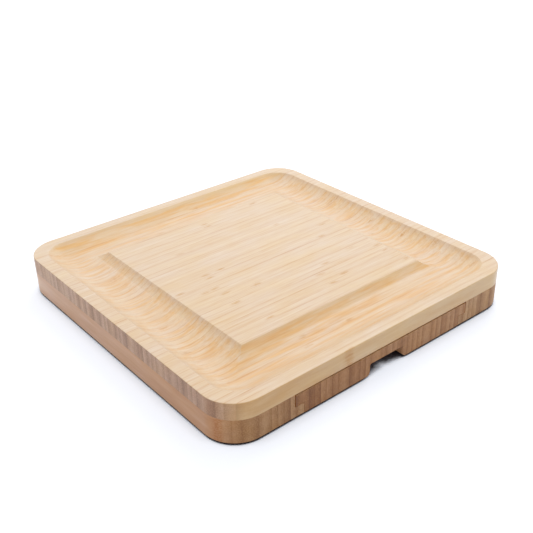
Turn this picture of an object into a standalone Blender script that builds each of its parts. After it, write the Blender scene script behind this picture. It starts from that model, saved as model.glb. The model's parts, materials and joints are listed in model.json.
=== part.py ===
"""Bamboo cheese board with a drawer that holds four cheese tools.

Metres, +Z up. The origin is the middle of the footprint, on the surface that the feet stand on. +X is to the
right of someone facing the drawer front and +Y points to the back, so the drawer slides out along -Y.
"""

import math

import bmesh
import bpy
from mathutils import Matrix, Vector
from mathutils.geometry import interpolate_bezier

# Board, seen from above
BOARD_WIDTH = 0.330
BOARD_DEPTH = 0.330
CORNER_RADIUS = 0.030

# Fits
BOND_GAP = 0.0003  # between pieces that are glued, seated or screwed together
SLIDE_GAP = 0.0003  # between the drawer's flanges and the ledges that carry them
SIDE_GAP = 0.0006  # beside the drawer's flanges and body
HEAD_GAP = 0.0014  # between the drawer and the top board
BACK_GAP = 0.0010  # behind the closed drawer
STOP_GAP = 0.0005  # around a stop screw in its groove
POCKET_GAP = 0.0010  # around a tool in its pocket

# Feet
FOOT_DIAMETER = 0.010
FOOT_THICKNESS = 0.0015
FOOT_EDGE = 0.0004
FOOT_INSET = 0.026

# Top board and the cove milled into it
TOP_THICKNESS = 0.0154
TOP_EDGE = 0.0008
SEAM_EDGE = 0.0003
RIM_WIDTH = 0.012
COVE_WIDTH = 0.049
COVE_DEPTH = 0.0086

# Base rails
BASE_THICKNESS = 0.0215
BASE_EDGE = 0.0008
LEDGE_HEIGHT = 0.0097
BACK_RAIL_DEPTH = 0.030
RAIL_CHAMFER = 0.0003

# Drawer
DRAWER_WIDTH = 0.2008
FLANGE_REACH = 0.0091
DRAWER_LIFT = 0.0002  # underside of the drawer above the underside of the rails
DRAWER_CHAMFER = 0.0004
DRAWER_FRONT_WALL = 0.030
DRAWER_TAIL = 0.085  # length that stays between the rails when the drawer is fully open
NOTCH_WIDTH = 0.040
NOTCH_DEPTH = 0.020
NOTCH_HEIGHT = 0.0112
NOTCH_RADIUS = 0.0015  # of its upper corners
NOTCH_EASE = 0.0035  # rounding of its lower corners, out to the underside of the drawer
POCKET_RADIUS = 0.004
FINGER_WIDTH = 0.028
FINGER_END_WALL = 0.005

# Stop screws
SCREW_INSET = 0.045  # from the front of the board
SHANK_DIAMETER = 0.0028
SCREW_HEAD_DIAMETER = 0.0050
SCREW_HEAD_HEIGHT = 0.0018
SCREW_RECESS = 0.0004  # underside of the head above the underside of the rail
SCREW_RISE = 0.0040  # tip above the ledge
DRIVE_LENGTH = 0.0026
DRIVE_WIDTH = 0.0007
DRIVE_DEPTH = 0.0009

# Magnets
MAGNET_DIAMETER = 0.008
MAGNET_THICKNESS = 0.003
MAGNET_SPACING = 0.120

# Tools
HANDLE_LENGTH = 0.092
HANDLE_WIDTH = 0.018
HANDLE_THICKNESS = 0.0115
HANDLE_COVER = 0.0017  # handle below the top of the drawer
COLLAR_LENGTH = 0.006
COLLAR_STAND = 0.0002  # collar proud of the handle around it
BLADE_THICKNESS = 0.0015
TANG_LENGTH = 0.038
TANG_WIDTH = 0.005
NECK_WIDTH = 0.008
KNIFE_LENGTH = 0.080
KNIFE_WIDTH = 0.024
FORK_LENGTH = 0.076
FORK_WIDTH = 0.018
FORK_TINE_WIDTH = 0.0048
FORK_TINE_LENGTH = 0.034
CLEAVER_LENGTH = 0.072
CLEAVER_WIDTH = 0.034
CLEAVER_RADIUS = 0.004
SPADE_LENGTH = 0.068
SPADE_WIDTH = 0.032

# Handle sections from the collar to the butt: place along the handle, width and thickness, as shares
HANDLE_SHARES = (
    (0.000, 0.74, 0.86),
    (0.100, 0.78, 0.88),
    (0.250, 0.86, 0.93),
    (0.450, 0.97, 0.99),
    (0.620, 1.00, 1.00),
    (0.800, 0.96, 0.98),
    (0.900, 0.88, 0.93),
    (0.955, 0.76, 0.83),
    (0.985, 0.56, 0.64),
    (1.000, 0.28, 0.34),
)
SECTION_POWER = 0.76  # below 1 squares the handle's oval section off

# Knife blade, as shares of half its width and of its length
KNIFE_NECK_SHARE = 0.08
KNIFE_SHOULDER_SHARE = 0.30
KNIFE_SPINE_SHARE = 0.22
KNIFE_BELLY_SHARES = ((1.00, 0.70), (0.62, 0.90))
KNIFE_LOWER_PRONG_SHARES = ((0.06, 0.985), (-0.06, 1.00))
KNIFE_PRONG_GAP_SHARES = ((-0.34, 0.91), (-0.46, 0.91))
KNIFE_UPPER_PRONG_SHARES = ((-0.86, 1.00), (-0.98, 0.985))

# Fork, cleaver and spade blades, as shares of their lengths
FORK_NECK_SHARE = 0.20
FORK_POINT_SHARE = 0.35  # of a tine's length that tapers to its point
FORK_TIP_SHARE = 0.30  # of a tine's width left at its point
CLEAVER_NECK_SHARE = 0.10
CLEAVER_HEEL_SHARE = 0.26
SPADE_NECK_SHARE = 0.08
SPADE_HEEL_SHARES = ((0.30, 0.14), (1.00, 0.16))
SPADE_BELLY_SHARE = 0.46
SPADE_POINT_SHARES = ((1.00, 0.78), (0.42, 0.94))

# Facets and tolerances
CORNER_STEPS = 10
EDGE_STEPS = 2
COVE_STEPS = 16
CURVE_STEPS = 10
ROUND_SIDES = 32
SECTION_SIDES = 20
QUARTER_TURN = math.radians(90)
SMOOTH_BELOW = math.radians(30)
MERGE_DISTANCE = 0.0000005
OVERRUN = 0.002  # how far a cutter runs past the face that it opens

# Heights, from the surface that the feet stand on
base_bottom = FOOT_THICKNESS + BOND_GAP
base_top = base_bottom + BASE_THICKNESS
top_bottom = base_top + BOND_GAP
top_face = top_bottom + TOP_THICKNESS
ledge_top = base_bottom + LEDGE_HEIGHT
flange_bottom = ledge_top + SLIDE_GAP
drawer_bottom = base_bottom + DRAWER_LIFT
drawer_top = top_bottom - HEAD_GAP
handle_pocket_floor = drawer_top - HANDLE_COVER - HANDLE_THICKNESS - BOND_GAP
tool_height = drawer_top - HANDLE_COVER - HANDLE_THICKNESS / 2
blade_pocket_floor = tool_height - BLADE_THICKNESS / 2 - BOND_GAP
magnet_height = (base_bottom + base_top) / 2

# Places across and along the board
half_width = BOARD_WIDTH / 2
half_depth = BOARD_DEPTH / 2
flange_half = DRAWER_WIDTH / 2
body_half = flange_half - FLANGE_REACH
slot_half = flange_half + SIDE_GAP
ledge_half = body_half + SIDE_GAP
back_rail_front = half_depth - BACK_RAIL_DEPTH
drawer_back = back_rail_front - BACK_GAP
drawer_travel = drawer_back + half_depth - DRAWER_TAIL
screw_x = (slot_half + body_half) / 2
screw_y = SCREW_INSET - half_depth
pocket_front = DRAWER_FRONT_WALL - half_depth
handle_front = pocket_front + POCKET_GAP
collar_front = handle_front + HANDLE_LENGTH + BOND_GAP + COLLAR_LENGTH


def clear_scene():
    for obj in list(bpy.data.objects):
        bpy.data.objects.remove(obj)


def make_material(name, colour, roughness, metallic=0):
    material = bpy.data.materials.new(name)
    material.use_nodes = True
    shader = material.node_tree.nodes["Principled BSDF"]
    shader.inputs["Base Color"].default_value = (*colour, 1)
    shader.inputs["Roughness"].default_value = roughness
    shader.inputs["Metallic"].default_value = metallic
    material.diffuse_color = (*colour, 1)
    return material


def place_mesh(name, mesh, material, location=(0, 0, 0), parent=None):
    """Puts a mesh in the scene as one named piece."""
    piece = bpy.data.objects.new(name, mesh)
    bpy.context.scene.collection.objects.link(piece)
    piece.location = location
    piece.parent = parent
    mesh.materials.append(material)
    return piece


def smooth(mesh):
    """Shades a mesh smooth except across its real edges."""
    mesh.shade_smooth()
    mesh.set_sharp_from_angle(angle=SMOOTH_BELOW)
    return mesh


def finish_mesh(name, shape):
    """Merges the points that meet, turns the faces outwards and returns the shape as a mesh."""
    bmesh.ops.remove_doubles(shape, verts=shape.verts, dist=MERGE_DISTANCE)
    bmesh.ops.recalc_face_normals(shape, faces=shape.faces)
    mesh = bpy.data.meshes.new(name)
    shape.to_mesh(mesh)
    shape.free()
    return mesh


def loft_mesh(name, rings):
    """Closed solid through rings of equal count, with a face over the first ring and over the last."""
    shape = bmesh.new()
    loops = [[shape.verts.new(point) for point in ring] for ring in rings]
    count = len(loops[0])
    for near, far in zip(loops, loops[1:]):
        for index in range(count):
            after = (index + 1) % count
            shape.faces.new((near[index], near[after], far[after], far[index]))
    shape.faces.new(loops[0][::-1])
    shape.faces.new(loops[-1])
    return finish_mesh(name, shape)


def at_height(outline, height):
    return [(x, y, height) for x, y in outline]


def slab_mesh(name, outline, low, high):
    """Solid with the same plan outline from one height to another."""
    return loft_mesh(name, [at_height(outline, low), at_height(outline, high)])


def bar_mesh(name, profile, front, back):
    """Solid with the same X, Z profile from front to back, made by extruding it along Y."""
    shape = bmesh.new()
    face = shape.faces.new([shape.verts.new((x, front, z)) for x, z in profile])
    swept = bmesh.ops.extrude_face_region(shape, geom=[face])
    moved = [item for item in swept["geom"] if isinstance(item, bmesh.types.BMVert)]
    bmesh.ops.translate(shape, verts=moved, vec=(0, back - front, 0))
    return finish_mesh(name, shape)


def box_mesh(name, low, high):
    size = Vector(high) - Vector(low)
    middle = (Vector(high) + Vector(low)) / 2
    shape = bmesh.new()
    bmesh.ops.create_cube(shape, size=1, matrix=Matrix.Translation(middle) @ Matrix.Diagonal((*size, 1)))
    return finish_mesh(name, shape)


def cylinder_mesh(name, diameter, length, turn=None):
    """Cylinder about its own middle, upright or turned by a matrix."""
    shape = bmesh.new()
    bmesh.ops.create_cone(
        shape,
        cap_ends=True,
        segments=ROUND_SIDES,
        radius1=diameter / 2,
        radius2=diameter / 2,
        depth=length,
        matrix=turn or Matrix.Identity(4),
    )
    return finish_mesh(name, shape)


def carve(piece, name, mesh, location=(0, 0, 0)):
    """Cuts a mesh out of a piece with a Boolean and keeps the cutter out of the model."""
    cutter = place_mesh(name, mesh, piece.active_material, location, piece.parent)
    cutter.hide_render = True
    cutter.display_type = "WIRE"
    cut = piece.modifiers.new(name, "BOOLEAN")
    cut.operation = "DIFFERENCE"
    cut.solver = "EXACT"
    cut.object = cutter


def chamfer(piece, width):
    """Breaks every edge of a sawn piece by the same small flat."""
    bevel = piece.modifiers.new("eased_edges", "BEVEL")
    bevel.width = width
    bevel.segments = 1
    bevel.limit_method = "ANGLE"


def quarter_arc(x, y, radius, quarters=0):
    """Anticlockwise points of a quarter of a circle, which starts so many quarters past its right side."""
    turns = (QUARTER_TURN * (quarters + step / CORNER_STEPS) for step in range(CORNER_STEPS + 1))
    return [(x + radius * math.cos(turn), y + radius * math.sin(turn)) for turn in turns]


def mirrored(points):
    """The same points on the other side of the middle line, in the opposite order."""
    return [(-x, y) for x, y in reversed(points)]


def plan_outline(left, right, front, back, radii, inset=0):
    """Rounded rectangle seen from above, anticlockwise from its front right corner.

    radii are those of the front right, back right, back left and front left corners. An inset takes every
    side in and shortens each radius with it, down to a sharp corner, and a negative one does the reverse.
    """
    corners = ((right, front, -1, 1), (right, back, -1, -1), (left, back, 1, -1), (left, front, 1, 1))
    points = []
    for index, (x, y, inward_x, inward_y) in enumerate(corners):
        radius = max(radii[index] - inset, 0)
        centre_x = x + inward_x * (inset + radius)
        centre_y = y + inward_y * (inset + radius)
        points += quarter_arc(centre_x, centre_y, radius, index - 1)
    return points


def eased_rings(outline_at, low, high, low_edge, high_edge):
    """Rings up the side of a plate whose lower and upper edges are rounded; outline_at takes an inset."""
    rings = []
    for step in range(EDGE_STEPS + 1):
        angle = QUARTER_TURN * step / EDGE_STEPS
        inset = low_edge * (1 - math.sin(angle))
        rings.append(at_height(outline_at(inset), low + low_edge * (1 - math.cos(angle))))
    for step in range(EDGE_STEPS + 1):
        angle = QUARTER_TURN * step / EDGE_STEPS
        inset = high_edge * (1 - math.cos(angle))
        rings.append(at_height(outline_at(inset), high - high_edge * (1 - math.sin(angle))))
    return rings


def cove_rings():
    """Rings down one side of the cove and up the other, from the rim to the plateau.

    The cutter's middle runs round a square with sharp corners, so the cove is round outside each corner and
    mitred inside it.
    """
    half_cove = COVE_WIDTH / 2
    radius = (half_cove**2 + COVE_DEPTH**2) / (2 * COVE_DEPTH)
    widest = math.asin(half_cove / radius)
    path_x = half_width - RIM_WIDTH - half_cove
    path_y = half_depth - RIM_WIDTH - half_cove
    rings = []
    for step in range(COVE_STEPS + 1):
        angle = widest * (1 - 2 * step / COVE_STEPS)
        outwards = radius * math.sin(angle)
        depth = COVE_DEPTH - radius * (1 - math.cos(angle))
        outline = plan_outline(-path_x, path_x, -path_y, path_y, (0, 0, 0, 0), -outwards)
        rings.append(at_height(outline, top_face - depth))
    return rings


def make_top_board(bamboo):
    def outline_at(inset):
        return plan_outline(-half_width, half_width, -half_depth, half_depth, (CORNER_RADIUS,) * 4, inset)

    rings = eased_rings(outline_at, top_bottom, top_face, SEAM_EDGE, TOP_EDGE) + cove_rings()
    place_mesh("top_board", smooth(loft_mesh("top_board", rings)), bamboo)


def make_side_rail(name, side, bamboo):
    """One side of the base, with the ledge under the drawer: side is 1 on the right, -1 on the left."""
    left, right = sorted((side * ledge_half, side * half_width))
    radii = (CORNER_RADIUS, CORNER_RADIUS, 0, 0)[::side]

    def outline_at(inset):
        return plan_outline(left, right, -half_depth, half_depth, radii, inset)

    rings = eased_rings(outline_at, base_bottom, base_top, BASE_EDGE, SEAM_EDGE)
    rail = place_mesh(name, smooth(loft_mesh(name, rings)), bamboo)
    across = sorted((side * (ledge_half - OVERRUN), side * slot_half))
    low = (across[0], -half_depth - OVERRUN, ledge_top)
    high = (across[1], half_depth + OVERRUN, base_top + OVERRUN)
    carve(rail, f"{name}_rebate_cutter", box_mesh("rebate", low, high))
    carve_screw_hole(rail, side)


def carve_screw_hole(rail, side):
    """Clearance hole for a stop screw through the ledge, with a counterbore for its head underneath."""
    place = (side * screw_x, screw_y)
    hole_low = base_bottom - OVERRUN
    hole_high = ledge_top + OVERRUN
    hole = cylinder_mesh("shank_hole", SHANK_DIAMETER + 2 * BOND_GAP, hole_high - hole_low)
    carve(rail, f"{rail.name}_shank_cutter", hole, (*place, (hole_low + hole_high) / 2))
    seat = base_bottom + SCREW_RECESS + SCREW_HEAD_HEIGHT + BOND_GAP
    bore = cylinder_mesh("head_bore", SCREW_HEAD_DIAMETER + 2 * BOND_GAP, seat - hole_low)
    carve(rail, f"{rail.name}_head_cutter", bore, (*place, (hole_low + seat) / 2))


def tee_profile(wide_half, narrow_half, low, step, high):
    """X, Z outline that is wide above the step and narrow below it."""
    return (
        (-narrow_half, low),
        (narrow_half, low),
        (narrow_half, step),
        (wide_half, step),
        (wide_half, high),
        (-wide_half, high),
        (-wide_half, step),
        (-narrow_half, step),
    )


def carve_magnet_bores(piece, face, inwards):
    """Two blind bores in a face that is square to Y: inwards is 1 where the material is behind the face."""
    depth = MAGNET_THICKNESS + BOND_GAP
    along_y = Matrix.Rotation(QUARTER_TURN, 4, "X")
    for side_name, side in (("left", -1), ("right", 1)):
        bore = cylinder_mesh("magnet_bore", MAGNET_DIAMETER + 2 * BOND_GAP, depth + OVERRUN, along_y)
        middle = face + inwards * (depth - OVERRUN) / 2
        place = (side * MAGNET_SPACING / 2, middle, magnet_height)
        carve(piece, f"{piece.name}_magnet_cutter_{side_name}", bore, place)


def make_magnets(name, face, inwards, nickel, parent=None):
    """Two disc magnets flush with the face that their bores open on."""
    along_y = Matrix.Rotation(QUARTER_TURN, 4, "X")
    for side_name, side in (("left", -1), ("right", 1)):
        disc = smooth(cylinder_mesh(name, MAGNET_DIAMETER, MAGNET_THICKNESS, along_y))
        place = (side * MAGNET_SPACING / 2, face + inwards * MAGNET_THICKNESS / 2, magnet_height)
        place_mesh(f"{name}_{side_name}", disc, nickel, place, parent)


def make_back_rail(bamboo):
    """Closes the base behind the drawer; its ends are rebated over the ledges of the side rails."""
    wide_half = slot_half - BOND_GAP
    narrow_half = ledge_half - BOND_GAP
    profile = tee_profile(wide_half, narrow_half, base_bottom, ledge_top + BOND_GAP, base_top)
    bar = bar_mesh("base_back_rail", profile, back_rail_front, half_depth)
    rail = place_mesh("base_back_rail", bar, bamboo)
    chamfer(rail, RAIL_CHAMFER)
    carve_magnet_bores(rail, back_rail_front, 1)


def make_drawer_tray(bamboo, drawer):
    profile = tee_profile(flange_half, body_half, drawer_bottom, flange_bottom, drawer_top)
    bar = bar_mesh("drawer_tray", profile, -half_depth, drawer_back)
    tray = place_mesh("drawer_tray", bar, bamboo, parent=drawer)
    chamfer(tray, DRAWER_CHAMFER)
    carve_thumb_notch(tray)
    carve_finger_channel(tray)
    for index, (name, _, length, width) in enumerate(TOOLS):
        carve_pocket(tray, name, tool_x(index), length, width)
    for side_name, side in (("left", -1), ("right", 1)):
        carve_stop_groove(tray, side_name, side)
    carve_magnet_bores(tray, drawer_back, -1)


def carve_thumb_notch(tray):
    """Opening under the middle of the drawer front, for the fingers that pull it out.

    Its lower corners open out in a curve that runs into the underside of the drawer.
    """
    half_notch = NOTCH_WIDTH / 2
    top = base_bottom + NOTCH_HEIGHT
    flare = quarter_arc(half_notch + NOTCH_EASE, drawer_bottom + NOTCH_EASE, NOTCH_EASE, 2)[::-1]
    (end_x, end_z), (next_x, next_z) = flare[:2]
    run_out_x = 2 * end_x - next_x
    side = [(run_out_x, drawer_bottom - OVERRUN), (run_out_x, 2 * end_z - next_z)] + flare[1:]
    side += quarter_arc(half_notch - NOTCH_RADIUS, top - NOTCH_RADIUS, NOTCH_RADIUS)
    notch = bar_mesh("thumb_notch", side + mirrored(side), -half_depth - OVERRUN, NOTCH_DEPTH - half_depth)
    carve(tray, "thumb_notch_cutter", notch)


def rout(tray, name, outline, floor):
    """Cuts a plan outline down into the drawer from its top, as far as a floor."""
    carve(tray, name, slab_mesh(name, outline, floor, drawer_top + OVERRUN))


def carve_finger_channel(tray):
    """Round-ended trough across all the handles, so that fingers can lift them."""
    half_channel = FINGER_WIDTH / 2
    end = body_half - FINGER_END_WALL
    middle = handle_front + HANDLE_LENGTH / 2
    outline = plan_outline(-end, end, middle - half_channel, middle + half_channel, (half_channel,) * 4)
    rout(tray, "finger_channel_cutter", outline, handle_pocket_floor)


def carve_pocket(tray, name, x, length, width):
    """Deep slot for a tool's handle and collar, and a shallower one for its blade."""
    radii = (POCKET_RADIUS,) * 4
    half_slot = HANDLE_WIDTH / 2 + POCKET_GAP
    slot = plan_outline(x - half_slot, x + half_slot, pocket_front, collar_front + POCKET_GAP, radii)
    rout(tray, f"{name}_handle_cutter", slot, handle_pocket_floor)
    half_bed = width / 2 + POCKET_GAP
    bed_front = collar_front - COLLAR_LENGTH
    bed = plan_outline(x - half_bed, x + half_bed, bed_front, collar_front + length + POCKET_GAP, radii)
    rout(tray, f"{name}_blade_cutter", bed, blade_pocket_floor)


def carve_stop_groove(tray, side_name, side):
    """Groove under a flange, in which a stop screw's tip runs from the closed drawer to the open one."""
    half_groove = SHANK_DIAMETER / 2 + STOP_GAP
    x = side * screw_x
    back = screw_y + drawer_travel + half_groove
    outline = plan_outline(x - half_groove, x + half_groove, screw_y - half_groove, back, (half_groove,) * 4)
    groove = slab_mesh("stop_groove", outline, flange_bottom - OVERRUN, ledge_top + SCREW_RISE + STOP_GAP)
    carve(tray, f"stop_groove_cutter_{side_name}", groove)


def circle(diameter, height):
    """Ring of points about the Z axis."""
    turns = (2 * math.pi * index / ROUND_SIDES for index in range(ROUND_SIDES))
    return [(diameter / 2 * math.cos(turn), diameter / 2 * math.sin(turn), height) for turn in turns]


def make_stop_screw(name, side, steel):
    """Screw driven up through a ledge, with a cross drive in its head."""
    shank_top = ledge_top + SCREW_RISE - base_bottom - SCREW_RECESS
    rings = (
        circle(SCREW_HEAD_DIAMETER, 0),
        circle(SCREW_HEAD_DIAMETER, SCREW_HEAD_HEIGHT),
        circle(SHANK_DIAMETER, SCREW_HEAD_HEIGHT),
        circle(SHANK_DIAMETER, shank_top),
    )
    place = (side * screw_x, screw_y, base_bottom + SCREW_RECESS)
    screw = place_mesh(name, smooth(loft_mesh(name, rings)), steel, place)
    half_length = DRIVE_LENGTH / 2
    half_slot = DRIVE_WIDTH / 2
    for label, reach_x, reach_y in (("x", half_length, half_slot), ("y", half_slot, half_length)):
        slot = box_mesh("drive_slot", (-reach_x, -reach_y, -OVERRUN), (reach_x, reach_y, DRIVE_DEPTH))
        carve(screw, f"{name}_drive_cutter_{label}", slot, place)


def make_foot(name, x, y, rubber):
    """Thin rubber pad with its lower edge rounded."""
    rings = []
    for step in range(EDGE_STEPS + 1):
        angle = QUARTER_TURN * step / EDGE_STEPS
        inset = FOOT_EDGE * (1 - math.sin(angle))
        rings.append(circle(FOOT_DIAMETER - 2 * inset, FOOT_EDGE * (1 - math.cos(angle))))
    rings.append(circle(FOOT_DIAMETER, FOOT_THICKNESS))
    place_mesh(name, smooth(loft_mesh(name, rings)), rubber, (x, y, 0))


def make_feet(rubber):
    reach_x = half_width - FOOT_INSET
    reach_y = half_depth - FOOT_INSET
    for row, y in (("front", -reach_y), ("back", reach_y)):
        for side_name, x in (("left", -reach_x), ("right", reach_x)):
            make_foot(f"foot_{row}_{side_name}", x, y, rubber)


def tool_x(index):
    """Middle of a tool's pocket, counted from the left."""
    pitch = 2 * body_half / len(TOOLS)
    return pitch * (index - (len(TOOLS) - 1) / 2)


def handle_section(width, thickness, y):
    """Squared oval ring across a handle."""
    points = []
    for index in range(SECTION_SIDES):
        turn = 2 * math.pi * index / SECTION_SIDES
        x = math.copysign(abs(math.cos(turn)) ** SECTION_POWER, math.cos(turn)) * width / 2
        z = math.copysign(abs(math.sin(turn)) ** SECTION_POWER, math.sin(turn)) * thickness / 2
        points.append((x, y, z))
    return points


def carve_tang_slot(piece, back, front):
    """Slot for a tang through or into a piece of a tool, about the tool's axis."""
    half_slot = TANG_WIDTH / 2 + BOND_GAP
    half_height = BLADE_THICKNESS / 2 + BOND_GAP
    slot = box_mesh("tang_slot", (-half_slot, back, -half_height), (half_slot, front, half_height))
    carve(piece, f"{piece.name}_tang_cutter", slot, piece.location)


def make_handle(name, x, bamboo, drawer):
    end = -COLLAR_LENGTH - BOND_GAP
    rings = [
        handle_section(HANDLE_WIDTH * wide, HANDLE_THICKNESS * thick, end - HANDLE_LENGTH * along)
        for along, wide, thick in HANDLE_SHARES
    ]
    handle = place_mesh(name, smooth(loft_mesh(name, rings)), bamboo, (x, collar_front, tool_height), drawer)
    carve_tang_slot(handle, -TANG_LENGTH - BOND_GAP, end + OVERRUN)


def make_collar(name, x, steel, drawer):
    _, wide, thick = HANDLE_SHARES[0]
    width = HANDLE_WIDTH * wide + 2 * COLLAR_STAND
    thickness = HANDLE_THICKNESS * thick + 2 * COLLAR_STAND
    rings = (handle_section(width, thickness, 0), handle_section(width, thickness, -COLLAR_LENGTH))
    collar = place_mesh(name, smooth(loft_mesh(name, rings)), steel, (x, collar_front, tool_height), drawer)
    carve_tang_slot(collar, -COLLAR_LENGTH - OVERRUN, OVERRUN)


def curve(*points):
    """Plan points along a cubic curve from the first point to the last, pulled by the two between."""
    knots = [Vector((x, y, 0)) for x, y in points]
    return [(point.x, point.y) for point in interpolate_bezier(*knots, CURVE_STEPS)]


def scaled(shares, half, length):
    return [(across * half, along * length) for across, along in shares]


def knife_outline():
    """Belly on the right, straight spine on the left and two prongs at the tip."""
    half = KNIFE_WIDTH / 2
    neck = NECK_WIDTH / 2
    neck_end = KNIFE_LENGTH * KNIFE_NECK_SHARE
    shoulder = KNIFE_LENGTH * KNIFE_SHOULDER_SHARE
    spine = KNIFE_LENGTH * KNIFE_SPINE_SHARE
    lower_prong = scaled(KNIFE_LOWER_PRONG_SHARES, half, KNIFE_LENGTH)
    rise = (neck_end + shoulder) / 2
    spine_rise = (neck_end + spine) / 2
    return (
        curve((neck, neck_end), (neck, rise), (half, rise), (half, shoulder))
        + curve((half, shoulder), *scaled(KNIFE_BELLY_SHARES, half, KNIFE_LENGTH), lower_prong[0])
        + lower_prong[1:]
        + scaled(KNIFE_PRONG_GAP_SHARES, half, KNIFE_LENGTH)
        + scaled(KNIFE_UPPER_PRONG_SHARES, half, KNIFE_LENGTH)
        + curve((-half, spine), (-half, spine_rise), (-neck, spine_rise), (-neck, neck_end))
    )


def fork_outline():
    """Stem that widens into two tapered tines."""
    half = FORK_WIDTH / 2
    neck = NECK_WIDTH / 2
    neck_end = FORK_LENGTH * FORK_NECK_SHARE
    root = FORK_LENGTH - FORK_TINE_LENGTH
    rise = (neck_end + root) / 2
    crotch = half - FORK_TINE_WIDTH
    point = FORK_LENGTH - FORK_TINE_LENGTH * FORK_POINT_SHARE
    tip_half = FORK_TINE_WIDTH * FORK_TIP_SHARE / 2
    tip = half - FORK_TINE_WIDTH / 2
    side = curve((neck, neck_end), (neck, rise), (half, rise), (half, root))
    side += [(half, point), (tip + tip_half, FORK_LENGTH), (tip - tip_half, FORK_LENGTH), (crotch, point)]
    side += [(x, 2 * (root + crotch) - y) for x, y in quarter_arc(0, root + crotch, crotch)]
    return side + mirrored(side)


def cleaver_outline():
    """Broad blade with a straight edge on each side and a square end."""
    half = CLEAVER_WIDTH / 2
    neck = NECK_WIDTH / 2
    neck_end = CLEAVER_LENGTH * CLEAVER_NECK_SHARE
    heel = CLEAVER_LENGTH * CLEAVER_HEEL_SHARE
    rise = (neck_end + heel) / 2
    side = curve((neck, neck_end), (neck, rise), (half, rise), (half, heel))
    side += quarter_arc(half - CLEAVER_RADIUS, CLEAVER_LENGTH - CLEAVER_RADIUS, CLEAVER_RADIUS)
    return side + mirrored(side)


def spade_outline():
    """Leaf-shaped blade with a point, for breaking hard cheese."""
    half = SPADE_WIDTH / 2
    neck = NECK_WIDTH / 2
    heel = (neck, SPADE_LENGTH * SPADE_NECK_SHARE)
    belly = (half, SPADE_LENGTH * SPADE_BELLY_SHARE)
    side = curve(heel, *scaled(SPADE_HEEL_SHARES, half, SPADE_LENGTH), belly)
    side += curve(belly, *scaled(SPADE_POINT_SHARES, half, SPADE_LENGTH), (0, SPADE_LENGTH))
    return side + mirrored(side)


def make_blade(name, outline, x, steel, drawer):
    """Flat steel blade, its neck seated on the collar and its tang run back into the handle."""
    tang = TANG_WIDTH / 2
    neck = NECK_WIDTH / 2
    back = [(-neck, BOND_GAP), (-tang, BOND_GAP), (-tang, -TANG_LENGTH)]
    plan = outline() + back + mirrored(back)
    mesh = slab_mesh(name, plan, -BLADE_THICKNESS / 2, BLADE_THICKNESS / 2)
    place_mesh(name, mesh, steel, (x, collar_front, tool_height), drawer)


# The tools from left to right: name, outline of the blade, its length and its width
TOOLS = (
    ("cheese_knife", knife_outline, KNIFE_LENGTH, KNIFE_WIDTH),
    ("cheese_fork", fork_outline, FORK_LENGTH, FORK_WIDTH),
    ("cheese_cleaver", cleaver_outline, CLEAVER_LENGTH, CLEAVER_WIDTH),
    ("cheese_spade", spade_outline, SPADE_LENGTH, SPADE_WIDTH),
)


def make_drawer(tray_bamboo, handle_bamboo, blade_steel, collar_steel, nickel):
    """Everything that slides out, under one empty that carries it along Y."""
    drawer = bpy.data.objects.new("drawer_slide", None)
    bpy.context.scene.collection.objects.link(drawer)
    make_drawer_tray(tray_bamboo, drawer)
    make_magnets("drawer_magnet", drawer_back, -1, nickel, drawer)
    for index, (name, outline, _, _) in enumerate(TOOLS):
        x = tool_x(index)
        make_handle(f"{name}_handle", x, handle_bamboo, drawer)
        make_collar(f"{name}_collar", x, collar_steel, drawer)
        make_blade(f"{name}_blade", outline, x, blade_steel, drawer)


def make_board():
    clear_scene()
    top_bamboo = make_material("top_bamboo", (0.83, 0.66, 0.46), 0.45)
    base_bamboo = make_material("base_bamboo", (0.50, 0.29, 0.16), 0.55)
    tray_bamboo = make_material("tray_bamboo", (0.56, 0.34, 0.19), 0.55)
    handle_bamboo = make_material("handle_bamboo", (0.72, 0.49, 0.28), 0.45)
    blade_steel = make_material("blade_steel", (0.62, 0.62, 0.61), 0.25, 1)
    collar_steel = make_material("collar_steel", (0.66, 0.66, 0.65), 0.20, 1)
    screw_steel = make_material("screw_steel", (0.55, 0.55, 0.53), 0.35, 1)
    nickel = make_material("magnet_nickel", (0.60, 0.58, 0.54), 0.22, 1)
    rubber = make_material("foot_rubber", (0.05, 0.05, 0.05), 0.80)
    make_top_board(top_bamboo)
    for side_name, side in (("left", -1), ("right", 1)):
        make_side_rail(f"base_{side_name}_rail", side, base_bamboo)
        make_stop_screw(f"drawer_stop_screw_{side_name}", side, screw_steel)
    make_back_rail(base_bamboo)
    make_magnets("rail_magnet", back_rail_front, 1, nickel)
    make_feet(rubber)
    make_drawer(tray_bamboo, handle_bamboo, blade_steel, collar_steel, nickel)


make_board()
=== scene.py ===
"""Looks of the bamboo cheese board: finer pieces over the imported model, their finishes, the light and the camera.

Metres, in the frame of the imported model: +X is to the right of someone facing the drawer, +Y points to the back,
+Z up, and the origin is under the middle of the board. Sizes inside a material are in millimetres.
"""

import json
import math

import bmesh
import bpy
from mathutils import Matrix, Vector


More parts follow.
